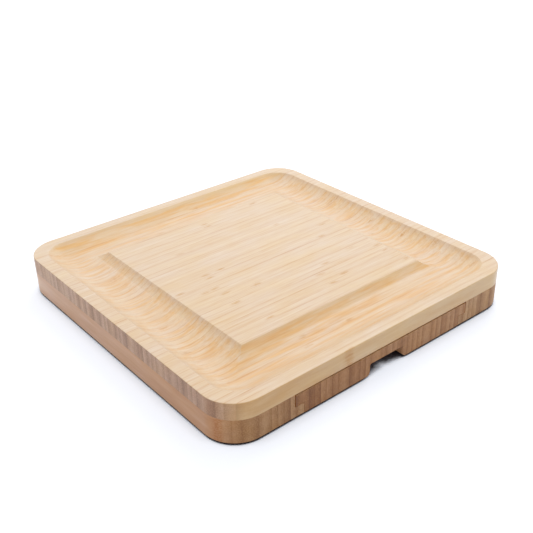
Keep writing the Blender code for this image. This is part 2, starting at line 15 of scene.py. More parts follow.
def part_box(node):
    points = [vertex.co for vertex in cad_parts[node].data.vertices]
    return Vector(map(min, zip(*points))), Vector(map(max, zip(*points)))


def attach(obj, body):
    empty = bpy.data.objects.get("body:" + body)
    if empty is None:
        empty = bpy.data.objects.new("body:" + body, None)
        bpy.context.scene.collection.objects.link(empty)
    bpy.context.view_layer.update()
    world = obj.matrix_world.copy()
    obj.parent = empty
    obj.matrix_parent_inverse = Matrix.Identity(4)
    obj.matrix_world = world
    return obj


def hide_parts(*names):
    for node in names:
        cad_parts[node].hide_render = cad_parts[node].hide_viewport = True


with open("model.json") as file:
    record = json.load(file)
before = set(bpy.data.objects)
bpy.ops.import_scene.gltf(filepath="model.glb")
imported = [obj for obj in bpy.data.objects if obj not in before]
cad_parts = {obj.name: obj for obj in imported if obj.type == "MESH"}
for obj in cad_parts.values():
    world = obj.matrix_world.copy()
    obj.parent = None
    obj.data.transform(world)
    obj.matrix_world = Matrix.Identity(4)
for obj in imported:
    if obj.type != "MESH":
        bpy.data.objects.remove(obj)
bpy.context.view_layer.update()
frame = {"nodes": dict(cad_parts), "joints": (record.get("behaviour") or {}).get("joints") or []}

MILLIMETRES = 1000  # in one metre

# Top board: the sizes that its box doesn't give
CORNER_RADIUS = 0.030
RIM_WIDTH = 0.012
COVE_WIDTH = 0.049
COVE_DEPTH = 0.0086
COVE_LIP = 0.0012
TOP_EDGE = 0.0008
SEAM_EDGE = 0.00012

# Base and drawer
BOND_GAP = 0.0003
SLIDE_GAP = 0.0003
SIDE_GAP = 0.0010
STOP_GAP = 0.0005
POCKET_GAP = 0.0010
LEDGE_HEIGHT = 0.0097
FLANGE_REACH = 0.0091
BASE_EASE = 0.0008
RAIL_EASE = 0.00012
TRAY_EASE = 0.00015
CORNER_OVER_END = 1.3  # rounding along a bar's length over that of its ends
NOTCH_WIDTH = 0.040
NOTCH_DEPTH = 0.020
NOTCH_HEIGHT = 0.0112
NOTCH_RADIUS = 0.0015
NOTCH_EASE = 0.0035
POCKET_RADIUS = 0.004
POCKET_FILLET = 0.0008
FINGER_WIDTH = 0.028
FINGER_END_WALL = 0.005

# Fittings
FOOT_EDGE = 0.0004
MAGNET_EDGE = 0.0002
SHANK_DIAMETER = 0.0028
SCREW_HEAD_HEIGHT = 0.0018
SCREW_HEAD_EDGE = 0.0003
THREAD_PITCH = 0.0008
THREAD_DEPTH = 0.00025
DRIVE_LENGTH = 0.0026
DRIVE_WIDTH = 0.0007
DRIVE_DEPTH = 0.0009
DRIVE_MOUTH = 1.1  # size of the cross drive's cutter outside the head, over that at the head's face
DRIVE_BOTTOM = 0.6  # and at the bottom of the drive

# Tools: handle sections from the collar to the butt, as place along the handle, width and thickness
HANDLE_SHARES = (
    (0.000, 0.74, 0.86), (0.100, 0.78, 0.88), (0.250, 0.86, 0.93), (0.450, 0.97, 0.99), (0.620, 1.00, 1.00),
    (0.800, 0.96, 0.98), (0.900, 0.88, 0.93), (0.955, 0.76, 0.83), (0.985, 0.56, 0.64), (1.000, 0.28, 0.34),
)
SECTION_POWER = 0.76  # of a handle's section: 1 is an oval, 0 a rectangle
TANG_WIDTH = 0.005
# Collar rows: place along it and how far the surface is below its widest, with a turned line near each end
COLLAR_ROWS = (
    (0.00, 0.00030), (0.02, 0.00015), (0.06, 0.00002), (0.16, 0.0), (0.19, 0.00018), (0.22, 0.00018), (0.25, 0.0),
    (0.75, 0.0), (0.78, 0.00018), (0.81, 0.00018), (0.84, 0.0), (0.94, 0.00002), (0.98, 0.00015), (1.00, 0.00030),
)
TOOLS = ("cheese_knife", "cheese_fork", "cheese_cleaver", "cheese_spade")
# Which side of a blade is ground, and from what share of its length
GRINDS = {
    "cheese_knife": ("right", 0.22), "cheese_fork": (None, 0), "cheese_cleaver": ("both", 0.26),
    "cheese_spade": ("both", 0.16),
}
GRIND_WIDTH = 0.0050
GRIND_RUN_IN = 0.10
GRIND_FROM_AXIS = 0.02
GRIND_SPARE = 1.1  # room to the middle line between two edges, over what the grind takes
CUTTING_EDGE = 0.00012
BLADE_EASE = 0.00025
SHARPEST = 0.3  # least share that a corner's inward direction is divided by, so that it stays short
HALVINGS = 12  # of the search for how far in a blade's grind can reach
CLEAR = 0.99  # share of that reach that has to be free of every side of the blade

# Facets and tolerances
CORNER_STEPS = 24
COVE_STEPS = 28
EDGE_STEPS = 3
QUARTER = [math.radians(90) * step / EDGE_STEPS for step in range(EDGE_STEPS + 1)]
POCKET_STEPS = 10
ROUND_STEPS = 16
HOLE_SIDES = 48
SECTION_SIDES = 40
HANDLE_STEPS = 4
OVERRUN = 0.002
SMOOTH_BELOW = math.radians(32)
GROUND_SMOOTH_BELOW = math.radians(5)
MERGE_DISTANCE = 0.000002
TINY = 1e-18  # least squared length that is divided by

# Bamboo, in millimetres: noises are length along the grain, width across it and octaves
STRIP_WIDTH = 6.2
STREAK = (60, 1.8, 2)
FIBRE = (16, 0.8, 2)
PORE = (14, 0.22, 1)
CLOUD = (140, 14, 4)
PATCH = (38, 18, 3)
MOTTLE = (44, 5, 3)
# Painted light: the bamboo's tone grows lighter towards the back right, standing in for the light and reflection
# there
PAINTED_LIGHT_DRIFT = (0.0009, 0.0009, 0)  # change of tone in one millimetre
STRIP_JUMP = (900, 300, 300)  # most that the noise is shifted from strip to strip
SEAM_JUMP = 7.3
SEAM_WIDTH = 0.75
SEAM_LENGTH = 70
KNUCKLE_LENGTH = 12
KNUCKLE_WIDTH = 4.4
KNUCKLE_WAVER = (7, 2.4, 0)  # how far the noise shakes their outline
KNUCKLE_TINT = "#E9C67C"
GOLDEN_TINT = "#FFF8E0"
MILLED_TINT = "#FFFCF8"
# Painted light: a tint on the slopes that stands in for how they are lit
SLOPE_PAINTED_LIGHT_TINT = "#FFFEFB"
RICH_TINT = "#FFE8B6"
MILLED_START = 0.2
MILLED_DEPTH = 2.0
BUNDLE_PITCH = 0.9
BUMP_DEPTH = 0.00005  # metres

# Metal and rubber
SMEAR = 9  # millimetres
DULL = 0.36  # height of the marks where they are hollows, and where they are crests
RUBBED = 0.64

# Camera
CAMERA_PLACE = (-0.418084, -0.526661, 0.402917)
CAMERA_AZIMUTH = 38.92
CAMERA_ELEVATION = -29.167
CAMERA_ROLL = -1.332
LENS = 54.342
SENSOR = 36.0

# Light and floor
SOFTBOX_PLACE = (1.00, 0.70, 1.15)
SOFTBOX_SIZE = 1.1
SOFTBOX_POWER = 10.2
SKY_LOW = 0.21
SKY_HIGH = 1.08
FLOOR_REACH = 6.0
FLOOR_WHITE = (0.62, 0.62, 0.62, 1)
FLOOR_LIFT = (0.52, 0.56, 0.63, 1)
FLOOR_IN_BOUNCE = 0.36
# Painted shadow: the floor's colour close under the board
FLOOR_PAINTED_SHADOW = (0.06, 0.05, 0.06, 1)
SHADOW_REACH = 0.02

board_low, board_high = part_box("top_board")
tray_low, tray_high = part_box("drawer_tray")
ledge_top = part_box("base_left_rail")[0].z + LEDGE_HEIGHT


def linear(colour):
    """An sRGB hex colour as linear red, green, blue and alpha."""
    channels = (int(colour[start:start + 2], 16) / 255 for start in (1, 3, 5))
    return (*(c / 12.92 if c <= 0.04045 else ((c + 0.055) / 1.055) ** 2.4 for c in channels), 1)


def connect(node, inputs):
    """Gives sockets of a node a value, or a link from a socket or from another node's first output.

    inputs has the sockets by name, identifier or number, or is a row of values for the first ones in turn.
    """
    for key, value in inputs.items() if isinstance(inputs, dict) else enumerate(inputs):
        usable = [socket for socket in node.inputs if socket.enabled]
        matching = [socket for socket in usable if key in (socket.identifier, socket.name)]
        socket = matching[0] if matching else usable[key]
        if isinstance(value, bpy.types.Node):
            value = next(output for output in value.outputs if output.enabled)
        if isinstance(value, bpy.types.NodeSocket):
            node.id_data.links.new(value, socket)
        else:
            socket.default_value = value


def add(tree, kind, inputs=(), stops=(), **settings):
    """Adds a node with its settings and links. stops are the places and sRGB hex colours of a colour ramp."""
    node = tree.nodes.new(kind)
    for name, value in settings.items():
        setattr(node, name, value)
    connect(node, inputs)
    for index, (place, colour) in enumerate(stops):
        elements = node.color_ramp.elements
        element = elements[index] if index < len(elements) else elements.new(place)
        element.position = place
        element.color = linear(colour)
    return node


def new_material(name):
    material = bpy.data.materials.new(name)
    material.use_nodes = True
    return material, material.node_tree, material.node_tree.nodes["Principled BSDF"]


# Places of the darker knuckle marks on the top board, read from the photograph: x and y in millimetres
TOP_KNUCKLES = (
    (-55, 54.5), (-43.5, 4.9), (-61, -1.3), (-79, -19.9), (-68, -19.9), (-36, -38.5), (-68.5, -50.9), (-61, -88.1),
    (19, -63.3), (54.7, 42.1), (69, 97.9), (71, -7.5), (97.5, -69.5), (99.5, -57.1), (100, -94.3), (75.5, -44.7),
    (0, 85.5), (18, -81.9), (-66, -32.3), (90, 11.1), (37, -75.7), (144, 54.5), (142, -7.5), (143, -50.9),
    (149, -88.1), (143, -137.7), (123, -26.1), (-5, -125.3), (-53.6, -119.1), (-57, -131.5), (-45, -165),
    (-38, 116.5), (22, 141.3), (-122, 66.9), (-130, -32.3),
)
# On the base, whose strips run the other way: y and x
BASE_KNUCKLES = ((-151, -161.5), (-148, -162.5))


def bamboo(name, grain, colours, seam, top, knuckles, spacing, nap, seed):
    """Laminated bamboo: strips of cane wall glued side by side, planed, milled, sanded and oiled.

    The eye sees narrow strips of slightly different tone with a fine darker line at the glue, streaks of fibre
    along the grain and a few short orange knuckles across single strips. The wide sides of the strips are more
    even and warmer, the cut ends are bars of dots, close and dark at the outer side of the cane, open and pale at
    its inner side, and what is milled out below the planed top drinks more oil and is more golden. grain is the
    axis that the strips run along, colours are those of the long grain, the wide sides and the cut ends, seam is
    the place of one glue line, top the height of the planed face or 0 where nothing is milled below it, knuckles
    are places seen in the photograph, spacing is how far apart the others lie in one strip, and nap is how much
    fine fibre the sanding left standing, which gives a pale bloom to what is seen at a low angle.
    """
    long_colours, side_colours, end_colours = colours
    material, tree, shader = new_material(name)
    coords = add(tree, "ShaderNodeTexCoord")
    place = add(tree, "ShaderNodeVectorMath", {0: coords.outputs["Object"], "Scale": MILLIMETRES}, operation="SCALE")
    axes = add(tree, "ShaderNodeSeparateXYZ", (place,)).outputs
    facing = add(tree, "ShaderNodeSeparateXYZ", (coords.outputs["Normal"],)).outputs
    along, across = ("X", "Y") if grain == "X" else ("Y", "X")
    u, v, w = axes[along], axes[across], axes["Z"]

    # Strips: their number, three random values for each, and the place across the cane wall, which may be turned
    shifted = add(tree, "ShaderNodeMath", (v, seam), operation="SUBTRACT")
    strips = add(tree, "ShaderNodeMath", (shifted, STRIP_WIDTH), operation="DIVIDE")
    number = add(tree, "ShaderNodeMath", (strips,), operation="FLOOR")
    share = add(tree, "ShaderNodeMath", (strips,), operation="FRACT")
    to_edge = add(tree, "ShaderNodeMath", (strips, 0.5), operation="PINGPONG")
    seeded = add(tree, "ShaderNodeMath", (number, seed), operation="ADD")
    chance = add(tree, "ShaderNodeTexWhiteNoise", {"W": seeded}, noise_dimensions="1D").outputs["Color"]
    r1, r2, r3 = add(tree, "ShaderNodeSeparateColor", (chance,)).outputs
    turned = add(tree, "ShaderNodeMath", (r2, 0.5), operation="GREATER_THAN")
    other_way = add(tree, "ShaderNodeMath", (1, share), operation="SUBTRACT")
    wall = add(tree, "ShaderNodeMix", {"Factor": turned, "A": share, "B": other_way})
    dense = add(tree, "ShaderNodeMath", (wall, 2), operation="POWER")

    # Noise drawn out along the grain: soft streaks, fibres, fine pores and clouds apart for each strip, patches of
    # another hue or tone over several strips, and a painted lightening towards the back right over the whole board,
    # which stands in for the light and reflection there
    apart = add(tree, "ShaderNodeVectorMath", (chance, STRIP_JUMP), operation="MULTIPLY")
    grain_place = add(tree, "ShaderNodeCombineXYZ", (u, v, w))
    own_place = add(tree, "ShaderNodeVectorMath", (grain_place, apart), operation="ADD")
    noises = []
    for start, (length, width, detail) in (
        (own_place, STREAK), (own_place, FIBRE), (own_place, PORE), (own_place, CLOUD), (grain_place, PATCH),
        (grain_place, MOTTLE),
    ):
        stretched = add(
            tree, "ShaderNodeVectorMath", (start, (1 / length, 1 / width, 1 / width), (seed, seed, seed)),
            operation="MULTIPLY_ADD",
        )
        noises.append(add(tree, "ShaderNodeTexNoise", {"Vector": stretched, "Scale": 1, "Detail": detail}).outputs)
    streaks, fibres, pores, clouds = (noise["Fac"] for noise in noises[:4])
    golden = add(tree, "ShaderNodeSeparateColor", (noises[4]["Color"],)).outputs[0]
    mottled, speckled, _ = add(tree, "ShaderNodeSeparateColor", (noises[5]["Color"],)).outputs
    painted_light_drift = add(tree, "ShaderNodeVectorMath", (place, PAINTED_LIGHT_DRIFT), operation="DOT_PRODUCT").outputs["Value"]

    # Glue lines, stronger and weaker along their length
    seam_number = add(tree, "ShaderNodeMath", (strips,), operation="ROUND")
    seam_place = add(tree, "ShaderNodeCombineXYZ", (seam_number, u))
    seam_place = add(
        tree, "ShaderNodeVectorMath", (seam_place, (SEAM_JUMP, 1 / SEAM_LENGTH, 1)), operation="MULTIPLY",
    )
    seam_noise = add(tree, "ShaderNodeTexNoise", {"Vector": seam_place, "Scale": 1, "Detail": 1})
    line = add(
        tree, "ShaderNodeMapRange", {"Value": to_edge, "From Min": SEAM_WIDTH / STRIP_WIDTH, "From Max": 0.01},
        interpolation_type="SMOOTHSTEP",
    )
    strength = add(
        tree, "ShaderNodeMapRange", {"Value": seam_noise, "From Min": 0.36, "From Max": 0.68, "To Min": 0.12},
    )
    line = add(tree, "ShaderNodeMath", (line, strength), operation="MULTIPLY")

    # Knuckles: those of the list, and in each strip others at a random start, drawn in fibres
    waver = add(tree, "ShaderNodeTexNoise", {"Vector": own_place, "Scale": 0.3, "Detail": 2}).outputs["Color"]
    shaken = add(tree, "ShaderNodeVectorMath", (waver, KNUCKLE_WAVER, grain_place), operation="MULTIPLY_ADD")
    drawn = add(
        tree, "ShaderNodeVectorMath", (shaken, (2 / KNUCKLE_LENGTH, 2 / KNUCKLE_WIDTH, 0)), operation="MULTIPLY",
    )
    start = add(tree, "ShaderNodeMath", (r3, spacing, u), operation="MULTIPLY_ADD")
    beyond = add(tree, "ShaderNodeMath", (start, spacing / 2), operation="PINGPONG")
    beyond = add(tree, "ShaderNodeMath", (beyond, KNUCKLE_LENGTH / 2), operation="DIVIDE")
    aside = add(tree, "ShaderNodeMath", (share, 0.5), operation="SUBTRACT")
    aside = add(tree, "ShaderNodeMath", (aside, 2 * STRIP_WIDTH / KNUCKLE_WIDTH), operation="MULTIPLY")
    beyond = add(tree, "ShaderNodeCombineXYZ", (beyond, aside))
    nearest = add(tree, "ShaderNodeVectorMath", (beyond,), operation="LENGTH").outputs["Value"]
    for x, y in knuckles:
        spot = ((x + KNUCKLE_WAVER[0] / 2) * 2 / KNUCKLE_LENGTH, (y + KNUCKLE_WAVER[1] / 2) * 2 / KNUCKLE_WIDTH, 0)
        away = add(tree, "ShaderNodeVectorMath", (drawn, spot), operation="DISTANCE").outputs["Value"]
        nearest = add(tree, "ShaderNodeMath", (nearest, away), operation="MINIMUM")
    mark = add(
        tree, "ShaderNodeMapRange", {"Value": nearest, "From Min": 1.25, "From Max": 0.1},
        interpolation_type="SMOOTHSTEP",
    )
    fibrous = add(tree, "ShaderNodeMapRange", {"Value": fibres, "From Min": 0.62, "From Max": 0.38, "To Min": 0.25})
    mark = add(tree, "ShaderNodeMath", (mark, fibrous), operation="MULTIPLY")

    # How far the surface is cut aslant, less where that is into the ends of the strips
    facing_end = add(tree, "ShaderNodeMath", (facing[along],), operation="ABSOLUTE")
    on_grain = add(tree, "ShaderNodeMapRange", {"Value": facing_end, "From Min": 0.5, "From Max": 0.1, "To Min": 0.7})
    upward = add(tree, "ShaderNodeMapRange", {"Value": facing["Z"], "From Min": 0.3, "From Max": 0.6})
    upward = add(tree, "ShaderNodeMath", (upward, on_grain), operation="MULTIPLY")
    aslant = add(tree, "ShaderNodeMapRange", {"Value": facing["Z"], "From Min": 0.985, "From Max": 0.88})
    aslant = add(tree, "ShaderNodeMath", (aslant, upward), operation="MULTIPLY")

    # Long grain: the edges of the strips, with the slopes painted paler, standing in for the light on them
    tone = add(tree, "ShaderNodeMath", (streaks, 0.42, 0.07), operation="MULTIPLY_ADD")
    for value, weight in (
        (fibres, 0.45), (clouds, 0.22), (speckled, 0.14), (r1, 0.06), (dense, -0.12), (line, -0.23), (aslant, 0.13),
    ):
        tone = add(tree, "ShaderNodeMath", (value, weight, tone), operation="MULTIPLY_ADD")
    long_grain = add(tree, "ShaderNodeValToRGB", {"Fac": tone}, long_colours)

    # Wide sides of the strips, with the slopes painted paler and the painted lightening towards the back right
    side_tone = add(tree, "ShaderNodeMath", (clouds, 0.75, -0.05), operation="MULTIPLY_ADD")
    for value, weight in ((fibres, 0.30), (speckled, 0.30), (painted_light_drift, 1), (aslant, 0.13)):
        side_tone = add(tree, "ShaderNodeMath", (value, weight, side_tone), operation="MULTIPLY_ADD")
    side_grain = add(tree, "ShaderNodeValToRGB", {"Fac": side_tone}, side_colours)
    sideways = add(tree, "ShaderNodeMath", (facing[across],), operation="ABSOLUTE")
    sideways = add(tree, "ShaderNodeMapRange", {"Value": sideways, "From Min": 0.1, "From Max": 0.85})
    lengthways = add(tree, "ShaderNodeMix", {"Factor": sideways, "A": long_grain, "B": side_grain}, data_type="RGBA")
    marked = add(
        tree, "ShaderNodeMix", {"Factor": mark, "A": lengthways, "B": linear(KNUCKLE_TINT)},
        data_type="RGBA", blend_type="MULTIPLY",
    )

    # Cut ends: dots of the bundles of fibre, closer towards the outer side of the cane
    bundle_place = add(tree, "ShaderNodeCombineXYZ", (v, w))
    bundles = add(
        tree, "ShaderNodeTexVoronoi", {"Vector": bundle_place, "Scale": 1 / BUNDLE_PITCH}, voronoi_dimensions="2D",
    )
    reach = add(tree, "ShaderNodeMapRange", {"Value": wall, "To Min": 0.28, "To Max": 0.60})
    dots = add(tree, "ShaderNodeMath", (reach, bundles.outputs["Distance"]), operation="SUBTRACT")
    dots = add(tree, "ShaderNodeMapRange", {"Value": dots, "From Max": 0.12})
    rare = add(tree, "ShaderNodeMath", (r1, 3), operation="POWER")
    end_tone = add(tree, "ShaderNodeMath", (dots, 0.28, 0.21), operation="MULTIPLY_ADD")
    # The painted lightening towards the back right reaches the cut ends too
    for value, weight in ((dense, 0.15), (rare, 0.42), (line, 0.20), (speckled, -0.42), (painted_light_drift, -1)):
        end_tone = add(tree, "ShaderNodeMath", (value, weight, end_tone), operation="MULTIPLY_ADD")
    end_grain = add(tree, "ShaderNodeValToRGB", {"Fac": end_tone}, end_colours)
    upright = add(tree, "ShaderNodeMath", (facing["Z"], -0.2, 1), operation="MULTIPLY_ADD")
    endways = add(tree, "ShaderNodeMath", (facing_end, upright), operation="MULTIPLY")
    endways = add(tree, "ShaderNodeMapRange", {"Value": endways, "From Min": 0.38, "From Max": 0.96})
    colour = add(tree, "ShaderNodeMix", {"Factor": endways, "A": marked, "B": end_grain}, data_type="RGBA")

    # More golden in soft patches and where it is milled, less so into the ends of the strips, and on the slopes
    # a painted tint that stands in for how they are lit
    deep = add(
        tree, "ShaderNodeMapRange", {"Value": w, "From Min": top - MILLED_START, "From Max": top - MILLED_DEPTH},
    )
    deep = add(tree, "ShaderNodeMath", (deep, upward), operation="MULTIPLY")
    patch = add(tree, "ShaderNodeMapRange", {"Value": golden, "From Min": 0.3, "From Max": 0.7})
    rich = add(tree, "ShaderNodeMapRange", {"Value": mottled, "From Min": 0.42, "From Max": 0.66})
    rich = add(tree, "ShaderNodeMath", (rich, deep), operation="MULTIPLY")
    for amount, tint in ((deep, MILLED_TINT), (aslant, SLOPE_PAINTED_LIGHT_TINT), (patch, GOLDEN_TINT), (rich, RICH_TINT)):
        colour = add(
            tree, "ShaderNodeMix", {"Factor": amount, "A": colour, "B": linear(tint)},
            data_type="RGBA", blend_type="MULTIPLY",
        )

    # Surface: the film of oil is glossier on the long grain than on the cut ends and the milled slopes, which
    # drink it, and thickest on the faces that lie flat
    relief = add(tree, "ShaderNodeMix", {"Factor": endways, "A": pores, "B": dots})
    bump = add(tree, "ShaderNodeBump", {"Strength": 0.3, "Distance": BUMP_DEPTH, "Height": relief})
    drinking = add(tree, "ShaderNodeMath", (endways, aslant), operation="MAXIMUM")
    roughness = add(tree, "ShaderNodeMapRange", {"Value": drinking, "To Min": 0.28, "To Max": 0.50})
    film = add(tree, "ShaderNodeMapRange", {"Value": facing["Z"], "From Min": 0.7, "From Max": 0.95})
    connect(shader, {
        "Base Color": colour, "Roughness": roughness, "Normal": bump, "Coat Weight": film, "Coat Roughness": 0.22,
        "IOR": 1.5, "Sheen Weight": nap, "Sheen Roughness": 0.55,
    })
    return material


def worked(name, colours, roughness, marks, relief, ground_marks=None, metallic=1):
    """Metal or rubber with the fine marks of its making over soft smears of handling.

    marks and ground_marks are the length of one mark along X, Y and Z in millimetres, on the flat and on the
    facets ground aslant. colours and roughness go from the dull hollows to the rubbed crests, and relief is the
    depth of the marks in metres.
    """
    material, tree, shader = new_material(name)
    coords = add(tree, "ShaderNodeTexCoord").outputs
    place = add(tree, "ShaderNodeVectorMath", {0: coords["Object"], "Scale": MILLIMETRES}, operation="SCALE")
    drawn = []
    for sizes in (marks, ground_marks or marks):
        scaled = add(tree, "ShaderNodeVectorMath", (place, [1 / size for size in sizes]), operation="MULTIPLY")
        drawn.append(add(tree, "ShaderNodeTexNoise", {"Vector": scaled, "Scale": 1, "Detail": 2}))
    facing = add(tree, "ShaderNodeSeparateXYZ", (coords["Normal"],)).outputs["Z"]
    facing = add(tree, "ShaderNodeMath", (facing,), operation="ABSOLUTE")
    # From 3 to 5 degrees aslant, where one set of marks gives way to the other
    aslant = add(tree, "ShaderNodeMapRange", {"Value": facing, "From Min": 0.9985, "From Max": 0.9965})
    mark = add(tree, "ShaderNodeMix", {"Factor": aslant, "A": drawn[0], "B": drawn[1]})
    smears = add(tree, "ShaderNodeTexNoise", {"Vector": place, "Scale": 1 / SMEAR, "Detail": 3})
    tone = add(tree, "ShaderNodeMath", (mark, 0.7), operation="MULTIPLY")
    tone = add(tree, "ShaderNodeMath", (smears, 0.3, tone), operation="MULTIPLY_ADD")
    colour = add(tree, "ShaderNodeValToRGB", {"Fac": tone}, zip((DULL, RUBBED), colours))
    rubbed = add(
        tree, "ShaderNodeMapRange",
        {"Value": tone, "From Min": DULL, "From Max": RUBBED, "To Min": roughness[0], "To Max": roughness[1]},
    )
    bump = add(tree, "ShaderNodeBump", {"Strength": 0.4, "Distance": relief, "Height": mark})
    connect(shader, {"Base Color": colour, "Roughness": rubbed, "Normal": bump, "Metallic": metallic})
    return material


TOP_LONG = ((0.20, "#C4844A"), (0.45, "#DFB78D"), (0.62, "#E6C8A7"), (0.90, "#EFD9C2"))
TOP_SIDE = ((0.10, "#CA9B60"), (0.35, "#D8AC75"), (0.65, "#E6C496"), (0.90, "#EED3AF"))
TOP_END = ((0.00, "#DCBAA4"), (0.30, "#C49A7E"), (0.60, "#AE7F5F"), (1.00, "#8A5B3C"))
BASE_LONG = ((0.20, "#8F5F3B"), (0.45, "#BB8A60"), (0.62, "#C99C72"), (0.90, "#D3AB84"))
BASE_SIDE = ((0.10, "#BB7E4A"), (0.35, "#CA9466"), (0.65, "#DCAF90"), (0.90, "#E9C4AB"))
BASE_END = ((0.00, "#CEA882"), (0.30, "#B98E65"), (0.60, "#A17244"), (1.00, "#825329"))
TRAY_END = ((0.00, "#C79C74"), (0.30, "#B28157"), (0.60, "#996536"), (1.00, "#79481F"))

materials = {
    "top_bamboo": bamboo(
        "bamboo_natural_oiled", "X", (TOP_LONG, TOP_SIDE, TOP_END), seam=1.8, top=board_high.z * MILLIMETRES,
        knuckles=TOP_KNUCKLES, spacing=4000, nap=0.3, seed=11,
    ),
    "base_bamboo": bamboo(
        "bamboo_caramel_oiled", "Y", (BASE_LONG, BASE_SIDE, BASE_END), seam=-50, top=0,
        knuckles=BASE_KNUCKLES, spacing=420, nap=0, seed=47,
    ),
    "tray_bamboo": bamboo(
        "bamboo_caramel_drawer", "Y", (BASE_LONG, BASE_SIDE, TRAY_END), seam=-50, top=tray_high.z * MILLIMETRES,
        knuckles=(), spacing=420, nap=0, seed=83,
    ),
    "handle_bamboo": bamboo(
        "bamboo_handle_turned", "Y", (TOP_LONG, TOP_SIDE, TOP_END), seam=0, top=0,
        knuckles=(), spacing=300, nap=0.3, seed=131,
    ),
    # Stainless steel, satin: brushed along the blade, so that it shines softly, with brighter cross marks on the
    # ground edge. The marks are drawn three times as coarse as the real 0.1 mm ones, so that they show.
    "blade_steel": worked(
        "stainless_steel_brushed", ("#BBBCBB", "#D2D2CF"), roughness=(0.34, 0.24), marks=(0.32, 28, 0.32),
        relief=0.00002, ground_marks=(16, 0.25, 16),
    ),
    # Stainless steel, turned and polished: a bright ring with fine lines round it, drawn coarser than real
    "collar_steel": worked(
        "stainless_steel_turned", ("#BEBFBE", "#E0E0DD"), roughness=(0.24, 0.12), marks=(40, 0.30, 40),
        relief=0.00001,
    ),
    # Steel, zinc plated: a cool grey bloom in small clouds, duller than polished steel
    "screw_steel": worked(
        "steel_zinc_plated", ("#A4A9AD", "#CCCFD0"), roughness=(0.44, 0.28), marks=(1.1,) * 3, relief=0.00001,
    ),
    # Nickel plate, barrelled: bright and faintly warm, with a soft waviness
    "magnet_nickel": worked(
        "nickel_plated", ("#B7B1A4", "#DAD5C9"), roughness=(0.26, 0.12), marks=(1.6,) * 3, relief=0.00001,
    ),
    # Rubber, moulded: a dull near-black skin with a fine grain, a little greyer where it is rubbed
    "foot_rubber": worked(
        "rubber_moulded", ("#1B1B1C", "#343435"), roughness=(0.90, 0.70), marks=(0.5,) * 3, relief=0.00004,
        metallic=0,
    ),
}


def arc(x, y, radius, quarters, steps):
    """Anticlockwise points of a quarter circle that starts so many quarter turns past its right side."""
    turns = (math.radians(90) * (quarters + step / steps) for step in range(steps + 1))
    return [(x + radius * math.cos(turn), y + radius * math.sin(turn)) for turn in turns]


def mirrored(points):
    return [(-x, y) for x, y in reversed(points)]


def lower_edge(height, ease):
    """Rounded lower edge, upwards: how far the points lie beyond the side, below 0 for inside it, and how high."""
    return [(-ease * (1 - math.sin(turn)), height + ease * (1 - math.cos(turn))) for turn in QUARTER]


def upper_edge(height, ease):
    return [(-ease * (1 - math.cos(turn)), height - ease * (1 - math.sin(turn))) for turn in QUARTER]


def plan(left, right, front, back, radii, grow, steps):
    """Rounded rectangle from its front right corner, anticlockwise, with every side moved out by grow."""
    corners = ((right, front, -1, 1), (right, back, -1, -1), (left, back, 1, -1), (left, front, 1, 1))
    points = []
    for index, (x, y, inward_x, inward_y) in enumerate(corners):
        radius = max(radii[index] + grow, 0)
        middle = (x + inward_x * (radius - grow), y + inward_y * (radius - grow))
        points += arc(*middle, radius, index - 1, steps)
    return points


def spread(points, distance):
    """A closed anticlockwise outline with every side moved out by the same distance."""
    moved = []
    for index, point in enumerate(points):
        before = Vector(point) - Vector(points[index - 1])
        after = Vector(points[(index + 1) % len(points)]) - Vector(point)
        normals = [Vector((side.y, -side.x)).normalized() for side in (before, after)]
        shift = (normals[0] + normals[1]) * distance / (1 + normals[0].dot(normals[1]))
        moved.append((point[0] + shift.x, point[1] + shift.y))
    return moved


def eased(points, radius):
    """A closed anticlockwise outline with its outer corners rounded and its inner corners left sharp."""
    rounded = []
    for index, point in enumerate(points):
        here = Vector(point)
        before = (Vector(points[index - 1]) - here).normalized()
        after = (Vector(points[(index + 1) % len(points)]) - here).normalized()
        if after.x * before.y - after.y * before.x < 0:
            rounded.append(point)
            continue
        centre = here + (before + after) * radius
        for step in range(EDGE_STEPS + 1):
            spoke = (-after).slerp(-before, step / EDGE_STEPS)
            rounded.append(tuple(centre + spoke * radius))
    return rounded


def closed_mesh(name, shape):
    """Merges the points that meet, turns the faces outwards and returns the shape as a mesh."""
    bmesh.ops.remove_doubles(shape, verts=shape.verts, dist=MERGE_DISTANCE)
    bmesh.ops.recalc_face_normals(shape, faces=shape.faces)
    mesh = bpy.data.meshes.new(name)
    shape.to_mesh(mesh)
    shape.free()
    return mesh


def loft(name, rings):
    """Closed solid through rings of equal count, with a face over the first and over the last."""
    shape = bmesh.new()
    loops = [[shape.verts.new(point) for point in ring] for ring in rings]
    for near, far in zip(loops, loops[1:]):
        for index in range(len(near)):
            shape.faces.new((near[index - 1], near[index], far[index], far[index - 1]))
    shape.faces.new(loops[0])
    shape.faces.new(loops[-1])
    return closed_mesh(name, shape)


def bar(name, profile, front, back, front_ease, back_ease):
    """Solid of one X, Z profile from front to back, its ends rounded in, or run on and flared by a negative ease."""
    rings = []
    for end, inwards, ease in ((front, 1, front_ease), (back, -1, back_ease)):
        rows = [(end - inwards * OVERRUN, -ease)] if ease < 0 else []
        rows += [(end + inwards * abs(along), grow) for grow, along in lower_edge(0, ease)]
        rings += [[(x, y, z) for x, z in spread(profile, grow)] for y, grow in rows[::inwards]]
    return loft(name, rings)


def stacked(name, edges, radii, rows, steps=POCKET_STEPS):
    """Solid of one rounded rectangle, grown by so much at each height of the rows."""
    return loft(name, [[(x, y, z) for x, y in plan(*edges, radii, grow, steps)] for grow, z in rows])


def routed(name, edges, radius, floor, top):
    """Cutter for a pocket: its floor runs up into the walls in a fillet, and its rim is eased."""
    rim = [(-out, z) for out, z in upper_edge(top, TRAY_EASE)] + [(TRAY_EASE, top + OVERRUN)]
    return stacked(name, edges, (radius,) * 4, lower_edge(floor, POCKET_FILLET) + rim)


